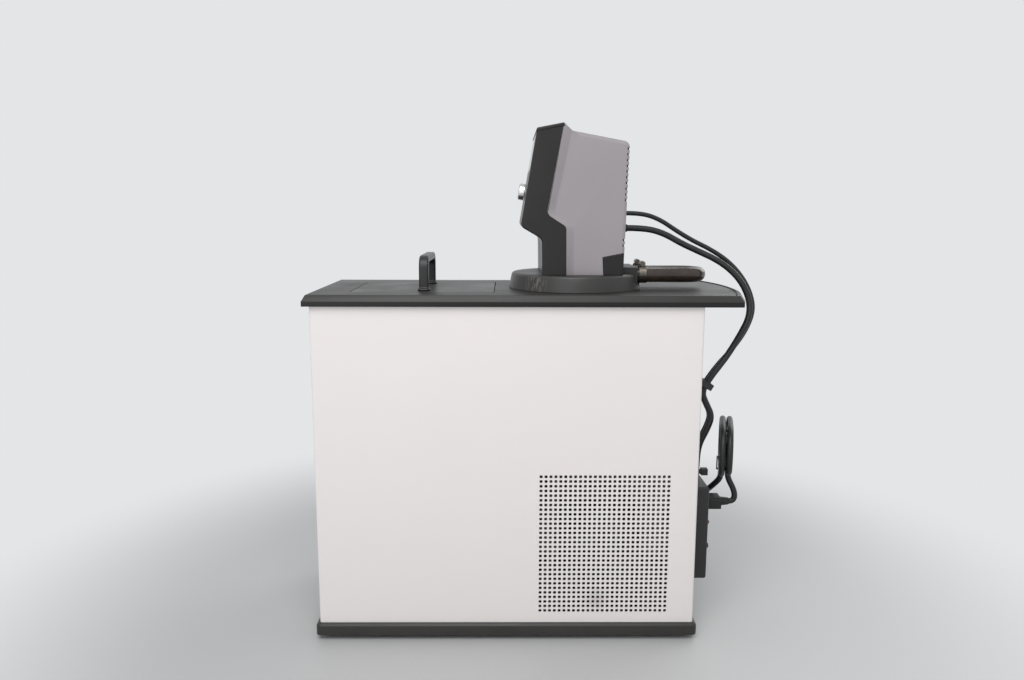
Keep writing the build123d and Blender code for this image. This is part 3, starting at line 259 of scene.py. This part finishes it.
# The feet: four low rubber feet pressed into the tray's floor, matt and grey with dust.
foot_rubber = surface("foot_rubber", (0.05, 0.05, 0.05), (0.11, 0.11, 0.11), 0.75, patch=60)
dress(foot_rubber, "feet")


# The cabinet's sheets: thin steel, folded at the edges and powder coated in a warm white.
# The near one has a field of 27 by 30 punched holes; a faint brown smudge crosses its foot.
white_coat = surface("white_coat", (0.82, 0.772, 0.75), (0.785, 0.742, 0.722), 0.46,
                     spread=0.05, patch=7, grain=900, depth=0.00004)


def near_spot(mat, spot, reach, strength, ramp):
    """A share that is full at a spot of a finish and fades to nothing at its reach."""
    nodes, links = mat.node_tree.nodes, mat.node_tree.links
    place = nodes.new("ShaderNodeTexCoord")
    away = nodes.new("ShaderNodeVectorMath")
    away.operation = "DISTANCE"
    away.inputs[1].default_value = spot
    near = nodes.new("ShaderNodeMapRange")
    near.interpolation_type = ramp
    near.inputs["From Min"].default_value = 0.0
    near.inputs["From Max"].default_value = reach
    near.inputs["To Min"].default_value = strength
    near.inputs["To Max"].default_value = 0.0
    links.new(place.outputs["Object"], away.inputs[0])
    links.new(away.outputs["Value"], near.inputs["Value"])
    return near.outputs["Result"]


def mark(mat, colour, share):
    """Lays one colour over a finish, as far as the share says."""
    nodes, links = mat.node_tree.nodes, mat.node_tree.links
    stain = nodes.new("ShaderNodeMix")
    stain.data_type = "RGBA"
    stain.inputs[7].default_value = (*colour, 1)
    links.new(share, stain.inputs[0])
    links.new(nodes["tint"].outputs[2], stain.inputs[6])
    links.new(stain.outputs[2], nodes["Principled BSDF"].inputs["Base Color"])


smudge_spot, smudge_reach, smudge_strength = (0.0835, -0.105, 0.052), 0.021, 0.3
mark(white_coat, (0.33, 0.27, 0.24),
     near_spot(white_coat, smudge_spot, smudge_reach, smudge_strength, "SMOOTHSTEP"))
dress(white_coat, "far_side_panel", "front_panel", "rear_panel")


def pick(piece, test):
    """In edit mode, selects only what the test finds: faces, edges or points of the mesh."""
    bpy.ops.object.mode_set(mode="OBJECT")
    mesh = piece.data
    for part in (mesh.vertices, mesh.edges, mesh.polygons):
        part.foreach_set("select", [False] * len(part))
    for item in test(mesh):
        item.select = True
    bpy.ops.object.mode_set(mode="EDIT")


def edges_at(mesh, axis, place):
    """The edges that lie wholly at one place along an axis."""
    return [e for e in mesh.edges
            if all(abs(mesh.vertices[v].co[axis] - place) < 1e-5 for v in e.vertices)]


hole_pitch, hole_size = 0.006, 0.0037
hole_round = hole_size * 0.26
columns, rows = 27, 30
sheet, fold_depth, fold_round = 0.0012, 0.012, 0.003
panel_low, panel_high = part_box("near_side_panel")
first_hole = Vector((0.0143, panel_low.y, 0.03685))
field_low = first_hole - Vector((hole_pitch / 2, 0, hole_pitch / 2))
field_size = Vector((columns * hole_pitch, 0, rows * hole_pitch))
bpy.ops.object.select_all(action="DESELECT")
bpy.ops.mesh.primitive_grid_add(x_subdivisions=columns, y_subdivisions=rows, size=1,
                                location=field_low + field_size / 2,
                                rotation=(math.pi / 2, 0, 0))
panel = bpy.context.object
panel.name = "near_panel"
bpy.ops.object.mode_set(mode="EDIT")
bpy.ops.transform.resize(value=(field_size.x, 1, field_size.z))
bpy.ops.mesh.inset(thickness=(hole_pitch - hole_size) / 2, use_individual=True)
bpy.ops.mesh.bevel(offset=hole_round, affect="VERTICES", segments=2)
bpy.ops.object.mode_set(mode="OBJECT")
bpy.ops.object.transform_apply(location=True, rotation=True, scale=True)
bpy.ops.object.mode_set(mode="EDIT")
bpy.ops.mesh.select_mode(type="FACE")
pick(panel, lambda mesh: [f for f in mesh.polygons
                          if abs((f.center.x - field_low.x) / hole_pitch % 1 - 0.5) < 0.01
                          and abs((f.center.z - field_low.z) / hole_pitch % 1 - 0.5) < 0.01])
bpy.ops.mesh.delete(type="FACE")
bpy.ops.mesh.select_mode(type="EDGE")
field_high = field_low + field_size
for axis, edge, target in ((0, field_high.x, panel_high.x), (0, field_low.x, panel_low.x),
                           (2, field_high.z, panel_high.z), (2, field_low.z, panel_low.z)):
    pick(panel, lambda mesh: edges_at(mesh, axis, edge))
    move = [0, 0, 0]
    move[axis] = target - edge
    bpy.ops.mesh.extrude_region_move(TRANSFORM_OT_translate={"value": move})
for edge in (panel_low.x, panel_high.x):
    pick(panel, lambda mesh: edges_at(mesh, 0, edge))
    bpy.ops.mesh.extrude_region_move(TRANSFORM_OT_translate={"value": (0, fold_depth, 0)})
bpy.ops.mesh.select_all(action="SELECT")
bpy.ops.mesh.remove_doubles(threshold=1e-6)
bpy.ops.mesh.normals_make_consistent(inside=False)
bpy.ops.object.mode_set(mode="OBJECT")
apply(panel, "BEVEL", width=fold_round, segments=4, limit_method="ANGLE",
      angle_limit=math.radians(60))
apply(panel, "SOLIDIFY", thickness=sheet, offset=-1)
only(panel)
bpy.ops.object.shade_smooth_by_angle(angle=math.radians(30))
dress(white_coat, panel)
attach(panel, "cabinet")
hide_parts("near_side_panel")


# The deck: one black moulding with a fine grain, a lip and a bevelled edge all round, and a
# bowed rear edge that overhangs the cabinet. Its upright lip is painted near black below the
# bevel: painted shade on the lip's face.
deck_plastic = surface("deck_plastic", (0.02, 0.0185, 0.0175), (0.034, 0.032, 0.03), 0.42,
                       spread=0.05, patch=16, grain=1500, depth=0.00006, shine=0.38)
nodes, links = deck_plastic.node_tree.nodes, deck_plastic.node_tree.links
lip_top = 0.4249
place = nodes.new("ShaderNodeTexCoord")
axes = nodes.new("ShaderNodeSeparateXYZ")
# Painted shade: below lip_top the deck's colour turns near black, for the shaded upright lip.
lip_shade_mask = nodes.new("ShaderNodeMapRange")
lip_shade_mask.inputs["From Min"].default_value = lip_top - 0.0003
lip_shade_mask.inputs["From Max"].default_value = lip_top + 0.0003
lip_painted_shade = nodes.new("ShaderNodeMix")
lip_painted_shade.data_type = "RGBA"
lip_painted_shade.inputs[6].default_value = (0.0055, 0.005, 0.0048, 1)
links.new(place.outputs["Object"], axes.inputs["Vector"])
links.new(axes.outputs["Z"], lip_shade_mask.inputs["Value"])
links.new(lip_shade_mask.outputs["Result"], lip_painted_shade.inputs[0])
links.new(nodes["tint"].outputs[2], lip_painted_shade.inputs[7])
links.new(lip_painted_shade.outputs[2], nodes["Principled BSDF"].inputs["Base Color"])
softened("deck", 0.0005, deck_plastic)


# A low ridge runs just inside the deck's bowed rear edge, painted near black: painted shade
# for the dark line of a groove there. It follows the bow at an even distance.
deck_top, bow_end, bow_rise, half_width = 0.4324, 0.24665, 0.0174, 0.1058
ridge_inset, ridge_width, ridge_height, ridge_half = 0.0045, 0.0022, 0.0012, 0.1
bow_radius = (half_width ** 2 + bow_rise ** 2) / (2 * bow_rise)
bow_centre = bow_end + bow_rise - bow_radius
ridge_radius = bow_radius - ridge_inset
ridge_angle = math.asin(ridge_half / ridge_radius)
start = Vector((bow_centre + ridge_radius * math.cos(ridge_angle), -ridge_half,
                deck_top + ridge_height / 2 - 0.0001))
bpy.ops.object.select_all(action="DESELECT")
bpy.ops.mesh.primitive_circle_add(vertices=10, radius=0.5, fill_type="NGON", location=start,
                                  rotation=(math.pi / 2, 0, -ridge_angle))
ridge = bpy.context.object
ridge.name = "deck_ridge"
ridge.scale = (ridge_width, ridge_height, 1)
bpy.ops.object.transform_apply(location=True, rotation=True, scale=True)
bpy.ops.object.mode_set(mode="EDIT")
bpy.ops.mesh.select_all(action="SELECT")
bpy.ops.mesh.spin(steps=36, angle=2 * ridge_angle, center=(bow_centre, 0, deck_top),
                  axis=(0, 0, -1))
bpy.ops.mesh.select_all(action="SELECT")
bpy.ops.mesh.remove_doubles(threshold=0.00001)
bpy.ops.mesh.normals_make_consistent(inside=False)
bpy.ops.object.mode_set(mode="OBJECT")
bpy.ops.object.shade_smooth_by_angle(angle=math.radians(50))
# Near-black ridge colour: painted shade for the groove's dark line.
ridge_shade = surface("ridge_shade", (0.006, 0.006, 0.006), (0.012, 0.012, 0.012), 0.5, patch=80, shine=0.3)
dress(ridge_shade, ridge)
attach(ridge, "cabinet")


# The bath: a drawn stainless tank under the deck, in rigid foam, with the cooling coil
# round it. Only its rim shows, and only with the lid lifted off.
bright_steel = surface("bright_steel", (0.56, 0.56, 0.55), (0.62, 0.62, 0.61), 0.28, metallic=1.0,
                       patch=40, stretch=(1, 1, 12))
foam = surface("foam", (0.62, 0.53, 0.3), (0.7, 0.62, 0.4), 0.85, patch=50, grain=500, depth=0.0003)
copper = surface("copper", (0.55, 0.27, 0.17), (0.4, 0.2, 0.14), 0.34, metallic=1.0, patch=30)
dress(bright_steel, "bath_tank")
dress(foam, "tank_insulation")
dress(copper, "evaporator_coil")


# The bath lid and its bridge handle: black mouldings. The lid lies flush in the deck with a
# narrow dark seam round it, and lifts straight off.
lid_plastic = surface("lid_plastic", (0.022, 0.0205, 0.0195), (0.038, 0.036, 0.034), 0.4,
                      patch=20, grain=1500, depth=0.00006, shine=0.38)
handle_plastic = surface("handle_plastic", (0.013, 0.012, 0.012), (0.026, 0.025, 0.024), 0.36,
                         patch=60, shine=0.4)
softened("bath_lid", 0.0008, lid_plastic)
softened("lid_handle", 0.0014, handle_plastic)


# The swivel: a bearing ring in the deck, and the moulded disc that the head stands on. Its
# sloping edge is scuffed to a pale grey on the front side.
disc_plastic = surface("disc_plastic", (0.024, 0.0225, 0.0215), (0.046, 0.043, 0.041), 0.4,
                       patch=30, grain=1300, depth=0.00005, shine=0.45)
nodes, links = disc_plastic.node_tree.nodes, disc_plastic.node_tree.links
scuff_spot, scuff_reach = (0.006, -0.065, 0.443), 0.02
place = nodes.new("ShaderNodeTexCoord")
turn = nodes.new("ShaderNodeMapping")
turn.inputs["Scale"].default_value = (380, 380, 45)
turn.inputs["Rotation"].default_value = (0, 0.35, 0)
streaks = nodes.new("ShaderNodeTexNoise")
streaks.inputs["Scale"].default_value = 1.0
streaks.inputs["Detail"].default_value = 3
worn = nodes.new("ShaderNodeMapRange")
worn.inputs["From Min"].default_value = 0.48
worn.inputs["From Max"].default_value = 0.62
worn.inputs["To Min"].default_value = 0.0
worn.inputs["To Max"].default_value = 0.65
share = nodes.new("ShaderNodeMath")
share.operation = "MULTIPLY"
links.new(place.outputs["Object"], turn.inputs["Vector"])
links.new(turn.outputs["Vector"], streaks.inputs["Vector"])
links.new(streaks.outputs["Fac"], worn.inputs["Value"])
links.new(near_spot(disc_plastic, scuff_spot, scuff_reach, 1.0, "LINEAR"), share.inputs[0])
links.new(worn.outputs["Result"], share.inputs[1])
mark(disc_plastic, (0.24, 0.225, 0.21), share.outputs["Value"])
dress(disc_plastic, "swivel_ring")
softened("swivel_disc", 0.0005, disc_plastic)


# The pump's ports: a black moulding with two ribbed tails. A U of brown-black hose joins
# them, shiny with handling, and a plated band clamps each end.
port_plastic = surface("port_plastic", (0.014, 0.014, 0.014), (0.026, 0.026, 0.025), 0.4,
                       patch=50, shine=0.4)
hose_rubber = surface("hose_rubber", (0.014, 0.009, 0.007), (0.05, 0.033, 0.023), 0.27,
                      spread=0.16, patch=55, grain=420, depth=0.00006, shine=0.6)
plated = surface("plated", (0.2, 0.18, 0.16), (0.09, 0.08, 0.07), 0.34, spread=0.1,
                 metallic=1.0, patch=120)
softened("port_block", 0.0005, port_plastic)
dress(plated, "hose_clamps")
port_face, hose_run, hose_bend = 0.1362, 0.1995, 0.0205
hose_height, hose_half, cuff_half, cuff_step = 0.4502, 0.0093, 0.0102, 0.002
ribs, rib_depth = 5, 0.955
rib = ((0.0012, 1), (0.0003, rib_depth), (0.0008, 1), (0.0003, 1 / rib_depth))
bpy.ops.object.select_all(action="DESELECT")
bpy.ops.mesh.primitive_circle_add(vertices=40, radius=cuff_half, fill_type="NGON",
                                  location=(port_face, -hose_bend, hose_height),
                                  rotation=(0, math.pi / 2, 0))
hose = bpy.context.object
hose.name = "hose"
bpy.ops.object.transform_apply(location=True, rotation=True, scale=True)
bpy.ops.object.mode_set(mode="EDIT")
bpy.ops.mesh.select_all(action="SELECT")


def go_on(step, size, middle):
    """Pulls the hose's open end on along X and sets it to a new thickness."""
    bpy.ops.mesh.extrude_region_move(TRANSFORM_OT_translate={"value": (step, 0, 0)})
    bpy.ops.transform.resize(value=(1, size, size), center_override=middle)


thick, thin = hose_half / cuff_half, cuff_half / hose_half
reach = port_face
for number in range(ribs):
    for step, size in rib:
        reach += step
        go_on(step, size, (reach, -hose_bend, hose_height))
reach += cuff_step
go_on(cuff_step, thick, (reach, -hose_bend, hose_height))
go_on(hose_run - reach, 1, (hose_run, -hose_bend, hose_height))
bpy.ops.mesh.spin(steps=20, angle=math.pi, center=(hose_run, 0, hose_height), axis=(0, 0, -1))
go_on(reach - hose_run, 1, (reach, hose_bend, hose_height))
reach -= cuff_step
go_on(-cuff_step, thin, (reach, hose_bend, hose_height))
for number in range(ribs):
    for step, size in rib[1:] + rib[:1]:
        reach -= step
        go_on(-step, size, (reach, hose_bend, hose_height))
bpy.ops.mesh.select_all(action="SELECT")
bpy.ops.mesh.remove_doubles(threshold=0.00001)
bpy.ops.mesh.normals_make_consistent(inside=False)
bpy.ops.object.mode_set(mode="OBJECT")
bpy.ops.object.shade_smooth_by_angle(angle=math.radians(40))
dress(hose_rubber, hose)
stands_for(hose, "bypass_hose")


# The control head's front shell: one black moulding that leans back and narrows to a neck.
bezel_plastic = surface("bezel_plastic", (0.0095, 0.0085, 0.0081), (0.0185, 0.0168, 0.016), 0.36,
                        spread=0.05, patch=18, grain=1400, depth=0.00004, shine=0.33)
softened("head_bezel", 0.0005, bezel_plastic)


# The brow: a separate black cap clipped over the bezel's top edge. It stands a little proud
# all round, so that a thin light line shows under it, and its front comes down to the window.
swivel_x, disc_top = 0.060, 0.4526
top_front, top_back = Vector((-0.0521, 0, 0.1745)), Vector((-0.0203, 0, 0.1807))
brow_height, brow_proud, bezel_half = 0.0048, 0.0005, 0.066
brow_spare, brow_reach, brow_foot, front_depth = 0.0006, 0.0022, 0.172, 0.004
slope = math.atan2(top_back.z - top_front.z, top_back.x - top_front.x)
brow_length = (top_back - top_front).length
rise = Vector((-math.sin(slope), 0, math.cos(slope)))
middle = (top_front + top_back) / 2 + Vector((swivel_x, 0, disc_top))
bpy.ops.object.select_all(action="DESELECT")
bpy.ops.mesh.primitive_cube_add(size=1, location=middle + rise * (brow_proud - brow_height / 2),
                                rotation=(0, -slope, 0))
brow = bpy.context.object
brow.name = "brow"
bpy.ops.object.mode_set(mode="EDIT")
bpy.ops.mesh.select_all(action="SELECT")
bpy.ops.transform.resize(value=(brow_length + brow_spare, 2 * (bezel_half + brow_proud),
                                brow_height), orient_type="LOCAL")
bpy.ops.object.mode_set(mode="OBJECT")
bpy.ops.object.transform_apply(location=True, rotation=True, scale=True)
front_edge = min(v.co.x for v in brow.data.vertices) + front_depth
bpy.ops.object.mode_set(mode="EDIT")
bpy.ops.mesh.select_mode(type="VERT")
pick(brow, lambda mesh: [v for v in mesh.vertices
                         if v.co.x < front_edge and v.co.z < disc_top + brow_foot])
bpy.ops.transform.translate(value=(-brow_reach, 0, 0))
bpy.ops.object.mode_set(mode="OBJECT")
apply(brow, "BEVEL", width=0.0013, segments=3, limit_method="ANGLE",
      angle_limit=math.radians(40))
bpy.ops.object.shade_smooth_by_angle(angle=math.radians(35))
dress(bezel_plastic, brow)
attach(brow, "controller")


# The head's grey rear shell, painted a mauve grey, and the black corner below it.
grey_paint = surface("grey_paint", (0.33, 0.298, 0.314), (0.293, 0.268, 0.28), 0.48,
                     spread=0.05, patch=10, grain=1300, depth=0.00003)
softened("head_housing", 0.0004, grey_paint)
softened("rear_corner_block", 0.0005, bezel_plastic)


# Behind the slots that wrap the head's rear corners stands a near-black sheet, set just under
# the shell's face, so that each slot shows as a dark dash: painted shade for the dark inside
# of the slots. One strip serves each corner.
# Near-black sheet behind the slots: painted shade.
slot_shade = surface("slot_shade", (0.006, 0.006, 0.006), (0.012, 0.012, 0.012), 0.9, patch=300, grain=2500,
               depth=0.0001, shine=0.1)
rear_low, rear_high = Vector((0.0558, 0, 0.0272)), Vector((0.0596, 0, 0.1596))
slot_shade_low, slot_shade_high, slot_shade_in, slot_shade_deep = 0.031, 0.1565, 0.0009, 0.005
shell_half, slots_from, corner = 0.061, 0.027, 0.0042
corner_y, corner_x, upright = 0.055, swivel_x + 0.0515, 0.05
for side in (-1, 1):
    bpy.ops.object.select_all(action="DESELECT")
    bpy.ops.mesh.primitive_cube_add(size=1, location=(0, side * (shell_half + slots_from) / 2, 0))
    strip = bpy.context.object
    strip.name = "slot_shade_near" if side < 0 else "slot_shade_far"
    bpy.ops.object.mode_set(mode="EDIT")
    bpy.ops.transform.resize(value=(slot_shade_deep, shell_half - slots_from - 2 * slot_shade_in,
                                    slot_shade_high - slot_shade_low))
    bpy.ops.mesh.select_mode(type="VERT")
    for level, upper in ((slot_shade_high, True), (slot_shade_low, False)):
        share = (level - rear_low.z) / (rear_high.z - rear_low.z)
        face = swivel_x + rear_low.x + share * (rear_high.x - rear_low.x) - slot_shade_in
        pick(strip, lambda mesh: [v for v in mesh.vertices if (v.co.z > 0) == upper])
        bpy.ops.transform.translate(value=(face - slot_shade_deep / 2, 0,
                                           disc_top + (slot_shade_low + slot_shade_high) / 2))
    bpy.ops.object.mode_set(mode="OBJECT")
    bpy.ops.object.transform_apply(location=True, rotation=True, scale=True)
    bpy.ops.object.mode_set(mode="EDIT")
    bpy.ops.mesh.select_mode(type="EDGE")
    pick(strip, lambda mesh: [e for e in mesh.edges
                              if all(abs(mesh.vertices[v].co.y) > corner_y
                                     and mesh.vertices[v].co.x > corner_x for v in e.vertices)
                              and abs(mesh.vertices[e.vertices[0]].co.z
                                      - mesh.vertices[e.vertices[1]].co.z) > upright])
    bpy.ops.mesh.bevel(offset=corner, segments=5)
    bpy.ops.object.mode_set(mode="OBJECT")
    dress(slot_shade, strip)
    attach(strip, "controller")


# The connector plate at the head's rear, with a moulded relief for each cord.
brushed = surface("brushed", (0.68, 0.68, 0.67), (0.6, 0.6, 0.59), 0.34, metallic=1.0,
                  patch=60, stretch=(1, 14, 1))
relief_rubber = surface("relief_rubber", (0.011, 0.011, 0.011), (0.021, 0.021, 0.021), 0.5,
                        patch=80, shine=0.35)
softened("connector_plate", 0.0003, brushed)
dress(relief_rubber, "strain_reliefs")


# The front face: a polished dark window, two push keys and a turned aluminium knob.
window = surface("window", (0.008, 0.009, 0.01), (0.012, 0.013, 0.014), 0.1, spread=0.02, patch=12,
                 grain=300, depth=0.000004)
key_plastic = surface("key_plastic", (0.09, 0.09, 0.092), (0.12, 0.12, 0.122), 0.4, patch=90)
turned = surface("turned", (0.72, 0.72, 0.71), (0.62, 0.62, 0.61), 0.24, metallic=1.0, patch=90)
lens = softened("display_lens", 0.0003, window)
lean_back = math.radians(9.4)
face_up = Vector((math.sin(lean_back), 0, math.cos(lean_back)))
cut_back, window_middle = 0.0105, 0.155
only(lens)
bpy.ops.object.mode_set(mode="EDIT")
bpy.ops.mesh.select_mode(type="VERT")
pick(lens, lambda mesh: [v for v in mesh.vertices if v.co.z > disc_top + window_middle])
bpy.ops.transform.translate(value=face_up * -cut_back)
bpy.ops.object.mode_set(mode="OBJECT")
softened("key_power", 0.0008, key_plastic)
softened("key_menu", 0.0008, key_plastic)
softened("knob", 0.0004, turned)
dress(turned, "encoder_spindle")
board = surface("board", (0.02, 0.09, 0.05), (0.03, 0.12, 0.06), 0.45, patch=80)
dress(board, "control_board")


# The pump under the head: motor, column, housing, impeller, heater, probe and pipes.
motor_enamel = surface("motor_enamel", (0.06, 0.06, 0.065), (0.09, 0.09, 0.095), 0.4, patch=40)
pump_plastic = surface("pump_plastic", (0.03, 0.03, 0.03), (0.045, 0.045, 0.045), 0.45, patch=60)
dress(motor_enamel, "pump_motor", "encoder_body", "encoder_rotor", "fan_motor")
dress(bright_steel, "pump_shaft", "pump_column", "heater_coil", "temperature_probe", "pump_pipes")
dress(pump_plastic, "pump_housing", "impeller")


# The refrigeration unit: an enamelled compressor on rubber, a finned condenser with its
# fan and hood, the drier and the copper lines.
shell_enamel = surface("shell_enamel", (0.014, 0.014, 0.015), (0.024, 0.024, 0.025), 0.26, patch=30)
galvanised = surface("galvanised", (0.42, 0.43, 0.44), (0.52, 0.53, 0.54), 0.4, metallic=1.0,
                     patch=120)
dress(shell_enamel, "compressor")
dress(relief_rubber, "compressor_grommets")
dress(galvanised, "condenser", "fan_shroud")
dress(brushed, "fan_blade")
dress(copper, "filter_drier", "refrigerant_lines")


# The rear fittings: the moulded cover over the mains wiring with its inlet, a dark red
# rocker and a reset button, the clip of the head cords, and a cap over an unused port.
cover_plastic = surface("cover_plastic", (0.014, 0.014, 0.0142), (0.026, 0.026, 0.0262), 0.45,
                        patch=30, shine=0.4)
rocker_red = surface("rocker_red", (0.16, 0.016, 0.014), (0.2, 0.022, 0.018), 0.3, patch=90)
softened("rear_box", 0.0008, cover_plastic)
softened("cable_clip", 0.0005, cover_plastic)
dress(cover_plastic, "mains_socket", "breaker_button")
softened("rocker_switch", 0.0003, rocker_red)
dress(relief_rubber, "port_cap")


# The head's two cords: a thin signal cord and a thicker supply cord in soft black jackets.
# They run out of the head, down through the clip, and in a small bow into the mains box.
cord_jacket = surface("cord_jacket", (0.0105, 0.011, 0.0108), (0.021, 0.0215, 0.021), 0.4,
                      patch=60, grain=900, depth=0.00003, shine=0.35)


def cord_line(name, points, diameter):
    """One smooth open line through a cord's route, as thick as the cord."""
    curve = bpy.data.curves.new(name, "CURVE")
    curve.dimensions = "3D"
    curve.resolution_u = 6
    spline = curve.splines.new("NURBS")
    spline.points.add(len(points) - 1)
    for point, place in zip(spline.points, points):
        point.co = (*place, 1)
    spline.order_u = 3
    spline.use_endpoint_u = True
    curve.use_fill_caps = True
    curve.bevel_resolution = 5
    line = bpy.data.objects.new(name, curve)
    bpy.context.scene.collection.objects.link(line)
    path = bpy.data.meshes.new_from_object(line)
    places = [v.co.copy() for v in path.vertices]
    bpy.data.meshes.remove(path)
    curve.bevel_depth = diameter / 2
    return line, places


def cord_foot(y):
    """The foot of a head cord's route: through the clip, out in a bow and down to the box."""
    return [(0.2289, y, 0.3249), (0.2175, y, 0.3055), (0.225, y, 0.289), (0.2325, y, 0.274),
            (0.2265, y, 0.256), (0.217, y, 0.237), (0.215, y, 0.213), (0.215, y, 0.188)]


upper_route = [(0.1257, 0.004, 0.5276), (0.147, 0.004, 0.5276), (0.17, 0.004, 0.5195),
               (0.191, 0.003, 0.5055), (0.212, 0.001, 0.493), (0.234, -0.002, 0.4825),
               (0.255, -0.006, 0.469), (0.2715, -0.011, 0.452), (0.2835, -0.017, 0.431),
               (0.2885, -0.023, 0.407), (0.279, -0.030, 0.383), (0.262, -0.036, 0.36),
               (0.243, -0.042, 0.342), *cord_foot(-0.0455)]
lower_route = [(0.1261, -0.005, 0.5088), (0.149, -0.005, 0.5088), (0.173, -0.006, 0.5025),
               (0.195, -0.008, 0.49), (0.218, -0.011, 0.4795), (0.24, -0.015, 0.4695),
               (0.258, -0.020, 0.4565), (0.272, -0.025, 0.44), (0.2805, -0.030, 0.419),
               (0.2795, -0.036, 0.398), (0.267, -0.042, 0.376), (0.251, -0.048, 0.352),
               (0.239, -0.053, 0.338), *cord_foot(-0.0545)]
for name, node, route, diameter in (("head_cord_thin", "head_cord_upper", upper_route, 0.006),
                                    ("head_cord_thick", "head_cord_lower", lower_route, 0.008)):
    line, places = cord_line(name, route, diameter)
    only(line)
    bpy.ops.object.convert(target="MESH")
    tube = bpy.context.object
    dress(cord_jacket, tube)
    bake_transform(tube)
    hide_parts(node)


# The mains cord: a black lead from the inlet, put away in five tied turns that stand on edge
# behind the cabinet, with the rest running down to the plug on the bench.
mains_diameter = 0.0075
coil_centre = Vector((0.2555, -0.040, 0.231))
coil_turn = math.radians(14)
along = Vector((math.sin(coil_turn), math.cos(coil_turn), 0))
across = Vector((math.cos(coil_turn), -math.sin(coil_turn), 0))
coil_length, coil_height = 0.110, 0.070
turn_points = 16
hop_first, hop_back, hop_length = 0.85, 0.2, 0.15
lays = [(0.0044, 0.0039), (0.0044, 0.0116), (0.0, 0.0186), (-0.0044, 0.0116), (-0.0044, 0.0039)]


def coil_point(share, shift, drop):
    """A point of one turn, share of the way round from the foot, drop in from the outside."""
    radius = coil_height / 2 - drop
    straight = coil_length - coil_height
    round_length = 2 * straight + 2 * math.pi * radius
    way = share * round_length
    half = straight / 2
    if way < half:
        a, b = way, -radius
    elif way < half + math.pi * radius:
        angle = (way - half) / radius
        a, b = half + radius * math.sin(angle), -radius * math.cos(angle)
    elif way < half + math.pi * radius + straight:
        a, b = half - (way - half - math.pi * radius), radius
    elif way < round_length - half:
        angle = (way - half - math.pi * radius - straight) / radius
        a, b = -half - radius * math.sin(angle), radius * math.cos(angle)
    else:
        a, b = way - round_length, -radius
    return coil_centre + along * a + across * shift + Vector((0, 0, b))


turns = []
for number, (here, there) in enumerate(zip(lays, lays[1:] + lays[-1:])):
    moves_at = hop_first - hop_back * number
    for i in range(turn_points):
        share = (i + 0.5) / turn_points
        moved = min(max((share - moves_at) / hop_length, 0), 1)
        shift = here[0] + (there[0] - here[0]) * moved
        drop = here[1] + (there[1] - here[1]) * moved
        turns.append(tuple(coil_point(share, shift, drop)))
foot = coil_centre - Vector((0, 0, coil_height / 2))
foot_half, foot_rise = 0.0045, Vector((0, 0, 0.002))
coil_in, coil_out = foot + across * foot_half, foot - across * foot_half
lead_exit = (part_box("mains_connector")[1].x, -0.045, 0.158)
mains_route = [lead_exit, (lead_exit[0] + 0.0075, -0.045, 0.158),
               (lead_exit[0] + 0.008, -0.0445, 0.171), tuple(coil_in - Vector((0, 0, 0.008))),
               tuple(coil_in + foot_rise), *turns,
               tuple(coil_out + foot_rise), tuple(coil_out - Vector((0, 0, 0.009))),
               (0.244, -0.031, 0.175), (0.2385, -0.017, 0.162), (0.2365, 0.004, 0.148),
               (0.234, 0.028, 0.131), (0.227, 0.046, 0.108), (0.221, 0.056, 0.078),
               (0.2195, 0.062, 0.046), (0.221, 0.066, 0.022), (0.2225, 0.078, 0.010),
               (0.2225, 0.090, 0.010)]
mains, places = cord_line("mains_lead", mains_route, mains_diameter)
mains.data.materials.append(cord_jacket)
connector = softened("mains_connector", 0.0005, relief_rubber)
plug = softened("mains_plug", 0.0005, relief_rubber)
dress(handle_plastic, "cord_tie")
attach(mains, "cabinet")
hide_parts("mains_cord_lead", "mains_coil", "mains_cord_tail")
